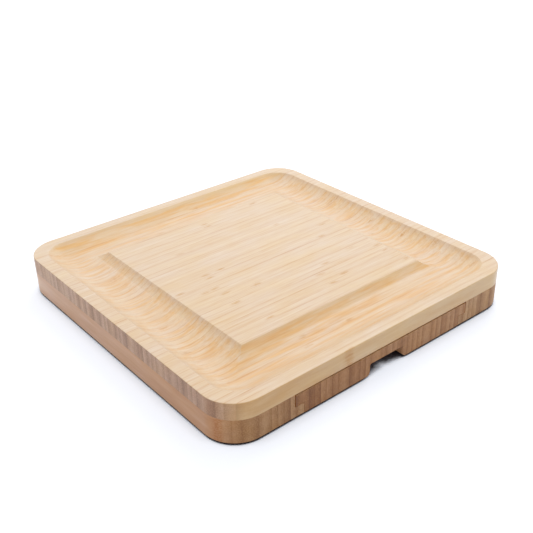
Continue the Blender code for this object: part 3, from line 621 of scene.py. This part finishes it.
def round_cutter(name, place, diameter, low, high, axis):
    """Cutter for a round hole about a place, from low to high along Y or Z."""
    shape = bmesh.new()
    bmesh.ops.create_cone(
        shape, cap_ends=True, segments=HOLE_SIDES, radius1=diameter / 2, radius2=diameter / 2, depth=high - low,
    )
    if axis == "Y":
        bmesh.ops.rotate(shape, verts=shape.verts, matrix=Matrix.Rotation(math.radians(90), 3, "X"))
        middle = (place[0], (low + high) / 2, place[2])
    else:
        middle = (place[0], place[1], (low + high) / 2)
    bmesh.ops.translate(shape, verts=shape.verts, vec=middle)
    return closed_mesh(name, shape)


def box_cutter(name, low, high):
    outline = [(low[0], low[1]), (high[0], low[1]), (high[0], high[1]), (low[0], high[1])]
    return loft(name, [[(x, y, z) for x, y in outline] for z in (low[2], high[2])])


def place_piece(name, mesh):
    piece = bpy.data.objects.new(name, mesh)
    bpy.context.scene.collection.objects.link(piece)
    return piece


def bake(piece):
    """The piece's mesh with all its modifiers applied; the piece itself goes."""
    bpy.context.view_layer.update()
    mesh = bpy.data.meshes.new_from_object(piece.evaluated_get(bpy.context.evaluated_depsgraph_get()))
    bpy.data.objects.remove(piece)
    return mesh


def cut(name, blank, cutters):
    """The blank with every cutter taken out of it, as one mesh."""
    piece = place_piece(name, blank)
    tools = [place_piece(f"{name}_cutter", cutter) for cutter in cutters]
    for tool in tools:
        carving = piece.modifiers.new("cut", "BOOLEAN")
        carving.operation = "DIFFERENCE"
        carving.solver = "EXACT"
        carving.object = tool
    mesh = bake(piece)
    for tool in tools:
        bpy.data.objects.remove(tool)
    return mesh


def finish_piece(name, mesh, body, slot, *nodes, crisp=SMOOTH_BELOW):
    """Puts a finished mesh in the scene in place of its CAD nodes, smooth except across its real edges."""
    mesh.materials.clear()
    mesh.materials.append(materials[slot])
    mesh.shade_smooth()
    mesh.set_sharp_from_angle(angle=crisp)
    piece = place_piece(name, mesh)
    normals = piece.modifiers.new("even_normals", "WEIGHTED_NORMAL")
    normals.keep_sharp = True
    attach(piece, body)
    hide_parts(*nodes)


# Geometry nodes: what is turned or milled to one profile

def make_sweep_tree():
    """Sweeps a profile round a rounded rectangle and sets out copies of the solid in rows.

    The profile is a mesh of loose points. X is how far a row's corner centres lie inside the plate's edge, Y the
    radius of its corners and Z its height, so a row with no radius is a sharp rectangle, and one whose centres
    all fall on the middle closes the solid.
    """
    tree = bpy.data.node_groups.new("sweep_round_plate", "GeometryNodeTree")
    for name, kind in (
        ("Profile", "Geometry"), ("Half Width", "Float"), ("Half Depth", "Float"), ("Corner Steps", "Int"),
        ("Columns", "Int"), ("Rows", "Int"), ("Column Spread", "Float"), ("Row Spread", "Float"),
        ("Turn", "Rotation"), ("Place", "Vector"), ("Merge Distance", "Float"), ("Finish", "Material"),
    ):
        tree.interface.new_socket(name, in_out="INPUT", socket_type=f"NodeSocket{kind}")
    tree.interface.new_socket("Solid", in_out="OUTPUT", socket_type="NodeSocketGeometry")
    given = add(tree, "NodeGroupInput").outputs

    # One grid point for each profile row at each step round the outline
    rows = add(tree, "GeometryNodeAttributeDomainSize", {"Geometry": given["Profile"]})
    stops = add(tree, "FunctionNodeIntegerMath", (given["Corner Steps"], 1), operation="ADD")
    around = add(tree, "FunctionNodeIntegerMath", (stops, 4, 1), operation="MULTIPLY_ADD")
    sheet = add(tree, "GeometryNodeMeshGrid", {"Vertices X": around, "Vertices Y": rows})
    index = add(tree, "GeometryNodeInputIndex")
    stop = add(tree, "FunctionNodeIntegerMath", (index, rows), operation="DIVIDE_FLOOR")
    row = add(tree, "FunctionNodeIntegerMath", (index, rows), operation="MODULO")
    place = add(tree, "GeometryNodeInputPosition")
    drawn = add(
        tree, "GeometryNodeSampleIndex", {"Geometry": given["Profile"], "Value": place, "Index": row},
        data_type="FLOAT_VECTOR",
    )
    drawn = add(tree, "ShaderNodeSeparateXYZ", (drawn,)).outputs

    # Which corner the point belongs to, and how far round that corner it is
    quarter = add(tree, "FunctionNodeIntegerMath", (stop, stops), operation="DIVIDE_FLOOR")
    step = add(tree, "FunctionNodeIntegerMath", (stop, stops), operation="MODULO")
    share = add(tree, "ShaderNodeMath", (step, given["Corner Steps"]), operation="DIVIDE")
    turn = add(tree, "ShaderNodeMath", (quarter, share), operation="ADD")
    angle = add(tree, "ShaderNodeMath", (turn, math.pi / 2), operation="MULTIPLY")
    corner = add(tree, "ShaderNodeMath", (quarter, math.pi / 2, math.pi / 4), operation="MULTIPLY_ADD")
    across = []
    for operation, half in (("COSINE", "Half Width"), ("SINE", "Half Depth")):
        spoke = add(tree, "ShaderNodeMath", (angle,), operation=operation)
        side = add(tree, "ShaderNodeMath", (corner,), operation=operation)
        side = add(tree, "ShaderNodeMath", (side,), operation="SIGN")
        centre = add(tree, "ShaderNodeMath", (given[half], drawn["X"]), operation="SUBTRACT")
        centre = add(tree, "ShaderNodeMath", (centre, side), operation="MULTIPLY")
        across.append(add(tree, "ShaderNodeMath", (spoke, drawn["Y"], centre), operation="MULTIPLY_ADD"))
    point = add(tree, "ShaderNodeCombineXYZ", (across[0], across[1], drawn["Z"]))
    swept = add(tree, "GeometryNodeSetPosition", {"Geometry": sheet, "Position": point})
    solid = add(tree, "GeometryNodeMergeByDistance", {"Geometry": swept, "Distance": given["Merge Distance"]})
    turned = add(tree, "GeometryNodeTransform", {"Geometry": solid, "Rotation": given["Turn"]})

    # Copies in rows
    spots = add(
        tree, "GeometryNodeMeshGrid",
        {
            "Size X": given["Column Spread"], "Size Y": given["Row Spread"],
            "Vertices X": given["Columns"], "Vertices Y": given["Rows"],
        },
    )
    copies = add(tree, "GeometryNodeInstanceOnPoints", {"Points": spots, "Instance": turned})
    placed = add(tree, "GeometryNodeTransform", {"Geometry": copies, "Translation": given["Place"]})
    real = add(tree, "GeometryNodeRealizeInstances", {"Geometry": placed})
    finished = add(tree, "GeometryNodeSetMaterial", {"Geometry": real, "Material": given["Finish"]})
    add(tree, "NodeGroupOutput", {"Solid": finished})
    return tree


def sweep(name, profile, slot, sizes):
    """Bakes the sweep of one profile into a plain mesh; sizes are the tree's inputs by name."""
    points = bpy.data.meshes.new(name)
    points.from_pydata(profile, [], [])
    piece = place_piece(name, points)
    modifier = piece.modifiers.new("sweep", "NODES")
    modifier.node_group = sweep_tree
    given = {
        "Corner Steps": ROUND_STEPS, "Columns": 1, "Rows": 1, "Merge Distance": MERGE_DISTANCE,
        "Finish": materials[slot], **sizes,
    }
    for item in sweep_tree.interface.items_tree:
        if item.in_out == "INPUT" and item.name in given:
            modifier[item.identifier] = given[item.name]
    piece.update_tag()
    shape = bmesh.new()
    shape.from_mesh(bake(piece))
    return closed_mesh(name, shape)


sweep_tree = make_sweep_tree()


def cove_profile():
    """Rows of the top board from the middle of its underside, round its edge and through the cove to the plateau."""
    half = board_high.x
    low, high = board_low.z, board_high.z
    rows = [(half, 0, low), (CORNER_RADIUS, CORNER_RADIUS - RIM_WIDTH / 2, low)]
    edges = lower_edge(low, SEAM_EDGE) + upper_edge(high, TOP_EDGE)
    rows += [(CORNER_RADIUS, CORNER_RADIUS + out, height) for out, height in edges]
    half_cove = COVE_WIDTH / 2
    radius = (half_cove**2 + COVE_DEPTH**2) / (2 * COVE_DEPTH)
    slope = math.asin(half_cove / radius)
    path = RIM_WIDTH + half_cove
    lip = COVE_LIP * math.tan(slope / 2)
    section = [
        (half_cove + lip - COVE_LIP * math.sin(a), high - COVE_LIP * (1 - math.cos(a)))
        for a in (slope * step / EDGE_STEPS for step in range(EDGE_STEPS + 1))
    ]
    inner = math.asin((half_cove - lip * math.cos(slope)) / radius)
    angles = (inner * (1 - step / COVE_STEPS) for step in range(1, COVE_STEPS))
    section += [(radius * math.sin(a), high - COVE_DEPTH + radius * (1 - math.cos(a))) for a in angles]
    rows += [(path, outwards, height) for outwards, height in section]
    rows.append((path, 0, high - COVE_DEPTH))
    rows += [(path + outwards, 0, height) for outwards, height in reversed(section)]
    rows += [(path + half_cove + RIM_WIDTH, 0, high), (half, 0, high)]
    return rows


def disc_profile(radius, low, high, low_edge, high_edge):
    """Rows of a plain turned disc with its edges rounded."""
    edges = lower_edge(low, low_edge) + upper_edge(high, high_edge)
    return [(0, 0, low), *((0, radius + out, height) for out, height in edges), (0, 0, high)]


def between(*nodes):
    """Lowest and highest corners round one node or more, and the middle of that box."""
    boxes = [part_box(node) for node in nodes]
    low = Vector([min(box[0][axis] for box in boxes) for axis in range(3)])
    high = Vector([max(box[1][axis] for box in boxes) for axis in range(3)])
    return low, high, (low + high) / 2


def make_top_board():
    mesh = sweep(
        "milled_top_board", cove_profile(), "top_bamboo",
        {"Half Width": board_high.x, "Half Depth": board_high.y, "Corner Steps": CORNER_STEPS},
    )
    finish_piece("milled_top_board", mesh, "board", "top_bamboo", "top_board")


def make_feet():
    nodes = [f"foot_{row}_{side}" for row in ("front", "back") for side in ("left", "right")]
    low, high, middle = between(*nodes)
    one_low, one_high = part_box(nodes[0])
    radius = (one_high.x - one_low.x) / 2
    mesh = sweep(
        "rubber_feet", disc_profile(radius, one_low.z, one_high.z, FOOT_EDGE, FOOT_EDGE / 2), "foot_rubber",
        {
            "Columns": 2, "Rows": 2, "Column Spread": high.x - low.x - 2 * radius,
            "Row Spread": high.y - low.y - 2 * radius, "Place": (middle.x, middle.y, 0),
        },
    )
    finish_piece("rubber_feet", mesh, "board", "foot_rubber", *nodes)


def make_magnets(name, body, stem):
    nodes = (f"{stem}_left", f"{stem}_right")
    low, high, middle = between(*nodes)
    radius = (high.z - low.z) / 2
    half = (high.y - low.y) / 2
    mesh = sweep(
        name, disc_profile(radius, -half, half, MAGNET_EDGE, MAGNET_EDGE), "magnet_nickel",
        {
            "Columns": 2, "Column Spread": high.x - low.x - 2 * radius,
            "Turn": (math.radians(90), 0, 0), "Place": middle,
        },
    )
    finish_piece(name, mesh, body, "magnet_nickel", *nodes)


def make_stop_screws():
    """Two screws whose heads sit in the underside, each with a cross drive and a threaded shank."""
    nodes = ("drawer_stop_screw_left", "drawer_stop_screw_right")
    low, high, middle = between(*nodes)
    one_low, one_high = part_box(nodes[0])
    head = (one_high.x - one_low.x) / 2
    shank = SHANK_DIAMETER / 2
    ease = SCREW_HEAD_EDGE
    rows = [(0, 0, low.z), *((0, head + out, z) for out, z in lower_edge(low.z, ease))]
    rows += [(0, head, low.z + SCREW_HEAD_HEIGHT), (0, shank, low.z + SCREW_HEAD_HEIGHT)]
    height = low.z + SCREW_HEAD_HEIGHT + THREAD_PITCH
    while height < high.z - THREAD_PITCH * 2:
        rows += [(0, shank - THREAD_DEPTH, height), (0, shank, height + THREAD_PITCH / 2)]
        height += THREAD_PITCH
    rows += [(0, shank, high.z - ease), (0, shank - ease, high.z), (0, 0, high.z)]
    spacing = high.x - low.x - 2 * head
    blank = sweep(
        "stop_screws", rows, "screw_steel",
        {"Columns": 2, "Column Spread": spacing, "Place": (middle.x, middle.y, 0)},
    )
    drives = []
    drive_rows = ((DRIVE_MOUTH, low.z - OVERRUN), (1, low.z), (DRIVE_BOTTOM, low.z + DRIVE_DEPTH))
    for side in (-1, 1):
        for reach_x, reach_y in ((DRIVE_LENGTH / 2, DRIVE_WIDTH / 2), (DRIVE_WIDTH / 2, DRIVE_LENGTH / 2)):
            x = middle.x + side * spacing / 2
            outline = ((-reach_x, -reach_y), (reach_x, -reach_y), (reach_x, reach_y), (-reach_x, reach_y))
            rings = [
                [(x + share * along, middle.y + share * across, z) for along, across in outline]
                for share, z in drive_rows
            ]
            drives.append(loft("cross_drive", rings))
    finish_piece("stop_screws", cut("stop_screws", blank, drives), "board", "screw_steel", *nodes)


def make_side_rail(name, side, node, screw):
    """Side of the base with its outer corners round and a rebate along its inside for the drawer's flange."""
    low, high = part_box(node)
    high.z += BOND_GAP
    radii = (CORNER_RADIUS, CORNER_RADIUS, 0, 0)[::side]
    rows = lower_edge(low.z, BASE_EASE) + upper_edge(high.z, SEAM_EDGE)
    blank = stacked(name, (low.x, high.x, low.y, high.y), radii, rows, CORNER_STEPS)

    inner = low.x if side > 0 else high.x
    slot_wall = side * (tray_high.x + SIDE_GAP)
    reach = side * OVERRUN
    rebate = [
        (inner - reach, ledge_top - RAIL_EASE), (inner, ledge_top - RAIL_EASE),
        (inner + side * RAIL_EASE, ledge_top), (slot_wall, ledge_top), (slot_wall, high.z - RAIL_EASE),
        (slot_wall + side * RAIL_EASE, high.z), (slot_wall + side * RAIL_EASE, high.z + OVERRUN),
        (inner - reach, high.z + OVERRUN),
    ][::side]
    screw_low, screw_high, screw_place = between(screw)
    head = screw_high.x - screw_low.x
    cutters = [
        bar("rebate", rebate, low.y, high.y, -RAIL_EASE, -RAIL_EASE),
        round_cutter("head_bore", screw_place, head + 2 * BOND_GAP, low.z - OVERRUN,
                     screw_low.z + SCREW_HEAD_HEIGHT + BOND_GAP, "Z"),
        round_cutter("shank_hole", screw_place, SHANK_DIAMETER + 2 * BOND_GAP, low.z - OVERRUN,
                     ledge_top + OVERRUN, "Z"),
    ]
    finish_piece(name, cut(name, blank, cutters), "board", "base_bamboo", node)


def tee(wide, narrow, low, step, high, ease):
    """X, Z outline that is wide above the step and narrow below it, with its outer corners rounded."""
    right = [(narrow, low), (narrow, step), (wide, step), (wide, high)]
    return eased(right + mirrored(right), ease * CORNER_OVER_END)


def magnet_bores(stem, open_face, depth_sign):
    """Cutters for the two blind bores that the magnets sit in."""
    bores = []
    for side in ("left", "right"):
        low, high, middle = between(f"{stem}_{side}")
        blind_end = (high.y if depth_sign > 0 else low.y) + depth_sign * BOND_GAP
        ends = sorted((open_face - depth_sign * OVERRUN, blind_end))
        bores.append(round_cutter("magnet_bore", middle, high.z - low.z + 2 * BOND_GAP, *ends, "Y"))
    return bores


def make_back_rail():
    low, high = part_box("base_back_rail")
    high.z += BOND_GAP
    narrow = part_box("base_right_rail")[0].x - BOND_GAP
    profile = tee(high.x, narrow, low.z, ledge_top + BOND_GAP, high.z, RAIL_EASE)
    blank = bar("back_rail", profile, low.y, high.y, RAIL_EASE, RAIL_EASE)
    mesh = cut("back_rail", blank, magnet_bores("rail_magnet", low.y, 1))
    finish_piece("back_rail", mesh, "board", "base_bamboo", "base_back_rail")


def notch_profile():
    """X, Z outline of the thumb notch, open at the bottom, with eased upper and flared lower corners."""
    half = NOTCH_WIDTH / 2
    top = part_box("base_left_rail")[0].z + NOTCH_HEIGHT
    flare = arc(half + NOTCH_EASE, tray_low.z + NOTCH_EASE, NOTCH_EASE, 2, POCKET_STEPS)[::-1]
    (end_x, end_z), (next_x, next_z) = flare[:2]
    run_out = 2 * end_x - next_x
    side = [(run_out, tray_low.z - OVERRUN), (run_out, 2 * end_z - next_z)] + flare[1:]
    side += arc(half - NOTCH_RADIUS, top - NOTCH_RADIUS, NOTCH_RADIUS, 0, POCKET_STEPS)
    return side + mirrored(side)


def make_tray():
    """Drawer body: the T section, the thumb notch, the pockets, the finger channel and the grooves and bores."""
    flange_bottom = ledge_top + SLIDE_GAP
    body = tray_high.x - FLANGE_REACH
    profile = tee(tray_high.x, body, tray_low.z, flange_bottom, tray_high.z, TRAY_EASE)
    blank = bar("routed_tray", profile, tray_low.y, tray_high.y, TRAY_EASE, TRAY_EASE)
    top = tray_high.z
    notch_back = tray_low.y + NOTCH_DEPTH
    cutters = [bar("thumb_notch", notch_profile(), tray_low.y, notch_back, -TRAY_EASE, POCKET_FILLET)]

    handle_low, handle_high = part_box("cheese_knife_handle")
    middle = (handle_low.y + handle_high.y) / 2
    half = FINGER_WIDTH / 2
    reach = body - FINGER_END_WALL
    floor = handle_low.z - BOND_GAP
    cutters.append(routed("finger_channel", (-reach, reach, middle - half, middle + half), half, floor, top))
    for tool in TOOLS:
        handle_low, handle_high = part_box(f"{tool}_handle")
        collar_low, collar_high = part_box(f"{tool}_collar")
        blade_low, blade_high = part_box(f"{tool}_blade")
        gap = POCKET_GAP
        slot = (handle_low.x - gap, handle_high.x + gap, handle_low.y - gap, collar_high.y + gap)
        bed = (blade_low.x - gap, blade_high.x + gap, collar_low.y, blade_high.y + gap)
        cutters.append(routed(f"{tool}_slot", slot, POCKET_RADIUS, floor, top))
        cutters.append(routed(f"{tool}_bed", bed, POCKET_RADIUS, blade_low.z - BOND_GAP, top))
    half = SHANK_DIAMETER / 2 + STOP_GAP
    travel = frame["joints"][0]["range_m"][1]
    for side in ("left", "right"):
        _, high, screw = between(f"drawer_stop_screw_{side}")
        edges = (screw.x - half, screw.x + half, screw.y - half, screw.y + travel + half)
        rows = ((0, flange_bottom - OVERRUN), (0, high.z + STOP_GAP))
        cutters.append(stacked("stop_groove", edges, (half,) * 4, rows))
    cutters += magnet_bores("drawer_magnet", tray_high.y, -1)
    finish_piece("routed_tray", cut("routed_tray", blank, cutters), "drawer", "tray_bamboo", "drawer_tray")


def squared_oval(x, y, z, half_width, half_height):
    """Ring across a handle or collar, between an oval and a rectangle."""
    ring = []
    for index in range(SECTION_SIDES):
        turn = 2 * math.pi * index / SECTION_SIDES
        across, up = math.cos(turn), math.sin(turn)
        ring.append((
            x + math.copysign(abs(across) ** SECTION_POWER, across) * half_width, y,
            z + math.copysign(abs(up) ** SECTION_POWER, up) * half_height,
        ))
    return ring


def between_rows(rows, steps):
    """A table of rows with more rows between them, on a smooth curve through them all."""
    finer = []
    for index in range(len(rows) - 1):
        around = [rows[max(index - 1, 0)], rows[index], rows[index + 1], rows[min(index + 2, len(rows) - 1)]]
        for step in range(steps):
            t = step / steps
            weights = (
                (-t + 2 * t**2 - t**3) / 2, (2 - 5 * t**2 + 3 * t**3) / 2,
                (t + 4 * t**2 - 3 * t**3) / 2, (-t**2 + t**3) / 2,
            )
            finer.append([sum(w * row[k] for w, row in zip(weights, around)) for k in range(len(rows[0]))])
    return finer + [list(rows[-1])]


def tang_slot(tool, front, back):
    """Cutter for the slot that a blade's tang fills in its handle or collar."""
    low, high, middle = between(f"{tool}_blade")
    reach = Vector((TANG_WIDTH / 2 + BOND_GAP, 0, (high.z - low.z) / 2 + BOND_GAP))
    (left, _, bottom), (right, _, top) = middle - reach, middle + reach
    return box_cutter("tang_slot", (left, front, bottom), (right, back, top))


def make_handle(tool):
    node = f"{tool}_handle"
    low, high, middle = between(node)
    half = (high - low) / 2
    rings = [
        squared_oval(middle.x, high.y - 2 * half.y * along, middle.z, half.x * min(wide, 1), half.z * min(thick, 1))
        for along, wide, thick in between_rows(HANDLE_SHARES, HANDLE_STEPS)
    ]
    slot = tang_slot(tool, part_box(f"{tool}_blade")[0].y - BOND_GAP, high.y + OVERRUN)
    mesh = cut(node, loft(node, rings), [slot])
    finish_piece(f"{node}_shaped", mesh, "drawer", "handle_bamboo", node)


def make_collar(tool):
    """Steel collar with its ends eased and two turned lines round it."""
    node = f"{tool}_collar"
    low, high, middle = between(node)
    half = (high - low) / 2
    rings = []
    for along, inset in COLLAR_ROWS:
        y = low.y + 2 * half.y * along
        rings.append(squared_oval(middle.x, y, middle.z, half.x - inset, half.z - inset))
    mesh = cut(node, loft(node, rings), [tang_slot(tool, low.y - OVERRUN, high.y + OVERRUN)])
    finish_piece(f"{node}_turned", mesh, "drawer", "collar_steel", node)


def outline_of(node):
    """The plan outline of a flat CAD node, anticlockwise, as X, Y points."""
    shape = bmesh.new()
    shape.from_mesh(frame["nodes"][node].data)
    bmesh.ops.remove_doubles(shape, verts=shape.verts, dist=MERGE_DISTANCE)
    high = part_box(node)[1].z
    upper = [face for face in shape.faces if all(high - vert.co.z < MERGE_DISTANCE for vert in face.verts)]
    onward = {}
    for face in upper:
        for loop in face.loops:
            if not all(other in upper for other in loop.edge.link_faces):
                onward[loop.vert.index] = loop.link_loop_next.vert.index
    shape.verts.ensure_lookup_table()
    start = here = next(iter(onward))
    points = []
    while not points or here != start:
        points.append(tuple(shape.verts[here].co.xy))
        here = onward[here]
    shape.free()
    return points


def gap_to_outline(point, points):
    """Distance from a point to the nearest side of a closed outline."""
    nearest = math.inf
    for index, end in enumerate(points):
        start = Vector(points[index - 1])
        side = Vector(end) - start
        share = min(max((point - start).dot(side) / max(side.length_squared, TINY), 0), 1)
        nearest = min(nearest, (start + side * share - point).length)
    return nearest


def ground_share(tool, x, y, half, length):
    """How far the grind of a blade's edge has come in, from 0 to 1, at a place from the blade's axis and collar."""
    side, start = GRINDS[tool]
    if not side or (abs(x) if side == "both" else x) < half * GRIND_FROM_AXIS:
        return 0
    return min(max((y / length - start) / GRIND_RUN_IN, 0), 1)


def make_blade(tool):
    """Flat blade with its cutting edge ground on both faces and its other edges only eased."""
    node = f"{tool}_blade"
    low, high, middle = between(node)
    half_thick = (high.z - low.z) / 2
    _, collar_high, collar_middle = between(f"{tool}_collar")
    axis, neck = collar_middle.x, collar_high.y
    points = outline_of(node)
    outer, reaches = [], []
    for index, point in enumerate(points):
        here = Vector(point)
        sides = (here - Vector(points[index - 1]), Vector(points[(index + 1) % len(points)]) - here)
        normals = [Vector((-side.y, side.x)).normalized() for side in sides]
        inwards = (normals[0] + normals[1]) / max(1 + normals[0].dot(normals[1]), SHARPEST)
        ground = ground_share(tool, here.x - axis, here.y - neck, (high.x - low.x) / 2, high.y - neck)
        wanted = BLADE_EASE + (GRIND_WIDTH - BLADE_EASE) * ground
        edge = half_thick - BLADE_EASE / 2 + (CUTTING_EDGE - half_thick + BLADE_EASE / 2) * ground
        near, far = 0, wanted * GRIND_SPARE
        for _ in range(HALVINGS):
            width = (near + far) / 2
            if gap_to_outline(here + inwards * width, points) > CLEAR * width:
                near = width
            else:
                far = width
        limited = far < wanted * GRIND_SPARE
        outer.append((here, edge))
        reaches.append((inwards, near / GRIND_SPARE if limited else wanted, limited))
    inner = []
    for index, (here, _) in enumerate(outer):
        before, own, after = reaches[index - 1], reaches[index], reaches[(index + 1) % len(points)]
        width = min(before[1], own[1], after[1]) if before[2] and after[2] else own[1]
        inner.append((here + own[0] * width, half_thick))
    rings = [
        [(place.x, place.y, middle.z + side * height) for place, height in ring]
        for ring, side in ((inner, -1), (outer, -1), (outer, 1), (inner, 1))
    ]
    finish_piece(f"{node}_ground", loft(node, rings), "drawer", "blade_steel", node, crisp=GROUND_SMOOTH_BELOW)


make_top_board()
for side, sign in (("left", -1), ("right", 1)):
    make_side_rail(f"{side}_rail", sign, f"base_{side}_rail", f"drawer_stop_screw_{side}")
make_back_rail()
make_feet()
make_magnets("rail_magnets", "board", "rail_magnet")
make_magnets("drawer_magnets", "drawer", "drawer_magnet")
make_stop_screws()
make_tray()
for tool in TOOLS:
    make_handle(tool)
    make_collar(tool)
    make_blade(tool)


def make_floor():
    """Plain white floor: it stays white to the camera and keeps the board's shadow, and a painted shadow makes it
    darker close to the board and darkest under it.
    """
    mesh = bpy.data.meshes.new("floor")
    corners = [(x * FLOOR_REACH, y * FLOOR_REACH, 0) for x, y in ((-1, -1), (1, -1), (1, 1), (-1, 1))]
    mesh.from_pydata(corners, [], [(0, 1, 2, 3)])
    floor = place_piece("floor", mesh)
    material, tree, shader = new_material("floor_paper_white")
    tree.nodes.remove(shader)
    rays = add(tree, "ShaderNodeLightPath").outputs
    seen = add(tree, "ShaderNodeMath", (rays["Is Camera Ray"], rays["Is Glossy Ray"]), operation="MAXIMUM")
    seen = add(tree, "ShaderNodeMapRange", {"Value": seen, "To Min": FLOOR_IN_BOUNCE})
    # How much of the sky is open, which is less close to the board and least under it; it paints a shadow there,
    # taking away the glow and darkening the floor's colour
    open_sky = add(tree, "ShaderNodeAmbientOcclusion", {"Distance": SHADOW_REACH}, samples=8).outputs["AO"]
    lift_after_painted_shadow = add(
        tree, "ShaderNodeMapRange", {"Value": open_sky, "From Min": 0.36, "From Max": 0.59},
        interpolation_type="SMOOTHSTEP",
    )
    painted_shadow_share = add(tree, "ShaderNodeMapRange", {"Value": open_sky, "From Min": 0.37, "From Max": 0.52})
    white = add(tree, "ShaderNodeMix", {"Factor": painted_shadow_share, "A": FLOOR_PAINTED_SHADOW, "B": FLOOR_WHITE}, data_type="RGBA")
    lift_after_painted_shadow = add(tree, "ShaderNodeMath", (lift_after_painted_shadow, seen), operation="MULTIPLY")
    lift = add(tree, "ShaderNodeEmission", {"Color": FLOOR_LIFT, "Strength": lift_after_painted_shadow})
    diffuse = add(tree, "ShaderNodeBsdfDiffuse", {"Color": white})
    both = add(tree, "ShaderNodeAddShader", (diffuse, lift))
    connect(tree.nodes["Material Output"], {"Surface": both})
    mesh.materials.append(material)


def make_world():
    """White all round to the camera and in reflections; the light itself comes more from overhead."""
    world = bpy.data.worlds.new("studio")
    bpy.context.scene.world = world
    world.use_nodes = True
    tree = world.node_tree
    rays = add(tree, "ShaderNodeLightPath").outputs
    seen = add(tree, "ShaderNodeMath", (rays["Is Camera Ray"], rays["Is Glossy Ray"]), operation="MAXIMUM")
    seen = add(tree, "ShaderNodeMath", (seen, rays["Is Transmission Ray"]), operation="MAXIMUM")
    sky = add(tree, "ShaderNodeTexCoord")
    height = add(tree, "ShaderNodeSeparateXYZ", (sky.outputs["Generated"],)).outputs["Z"]
    level = add(tree, "ShaderNodeMapRange", {"Value": height, "To Min": SKY_LOW, "To Max": SKY_HIGH})
    strength = add(tree, "ShaderNodeMix", {"Factor": seen, "A": level, "B": 1.0})
    connect(tree.nodes["Background"], {"Color": (1, 1, 1, 1), "Strength": strength})


def make_softbox():
    """Soft light from high on the right at the back, aimed at the middle of the board."""
    light = bpy.data.lights.new("softbox", "AREA")
    light.shape = "SQUARE"
    light.size = SOFTBOX_SIZE
    light.energy = SOFTBOX_POWER
    lamp = bpy.data.objects.new("softbox", light)
    bpy.context.scene.collection.objects.link(lamp)
    lamp.location = SOFTBOX_PLACE
    lamp.visible_glossy = False
    lamp.rotation_mode = "QUATERNION"
    lamp.rotation_quaternion = (-Vector(SOFTBOX_PLACE)).to_track_quat("-Z", "Y")


def make_camera():
    camera = bpy.data.objects.new("camera", bpy.data.cameras.new("camera"))
    bpy.context.scene.collection.objects.link(camera)
    camera.data.lens = LENS
    camera.data.sensor_width = SENSOR
    heading = Matrix.Rotation(math.radians(-CAMERA_AZIMUTH), 4, "Z")
    tilt = Matrix.Rotation(math.radians(90 + CAMERA_ELEVATION), 4, "X")
    roll = Matrix.Rotation(math.radians(CAMERA_ROLL), 4, "Z")
    camera.matrix_world = Matrix.Translation(CAMERA_PLACE) @ heading @ tilt @ roll
    bpy.context.scene.camera = camera


make_floor()
make_world()
make_softbox()
make_camera()
bpy.context.scene.view_settings.view_transform = "Standard"
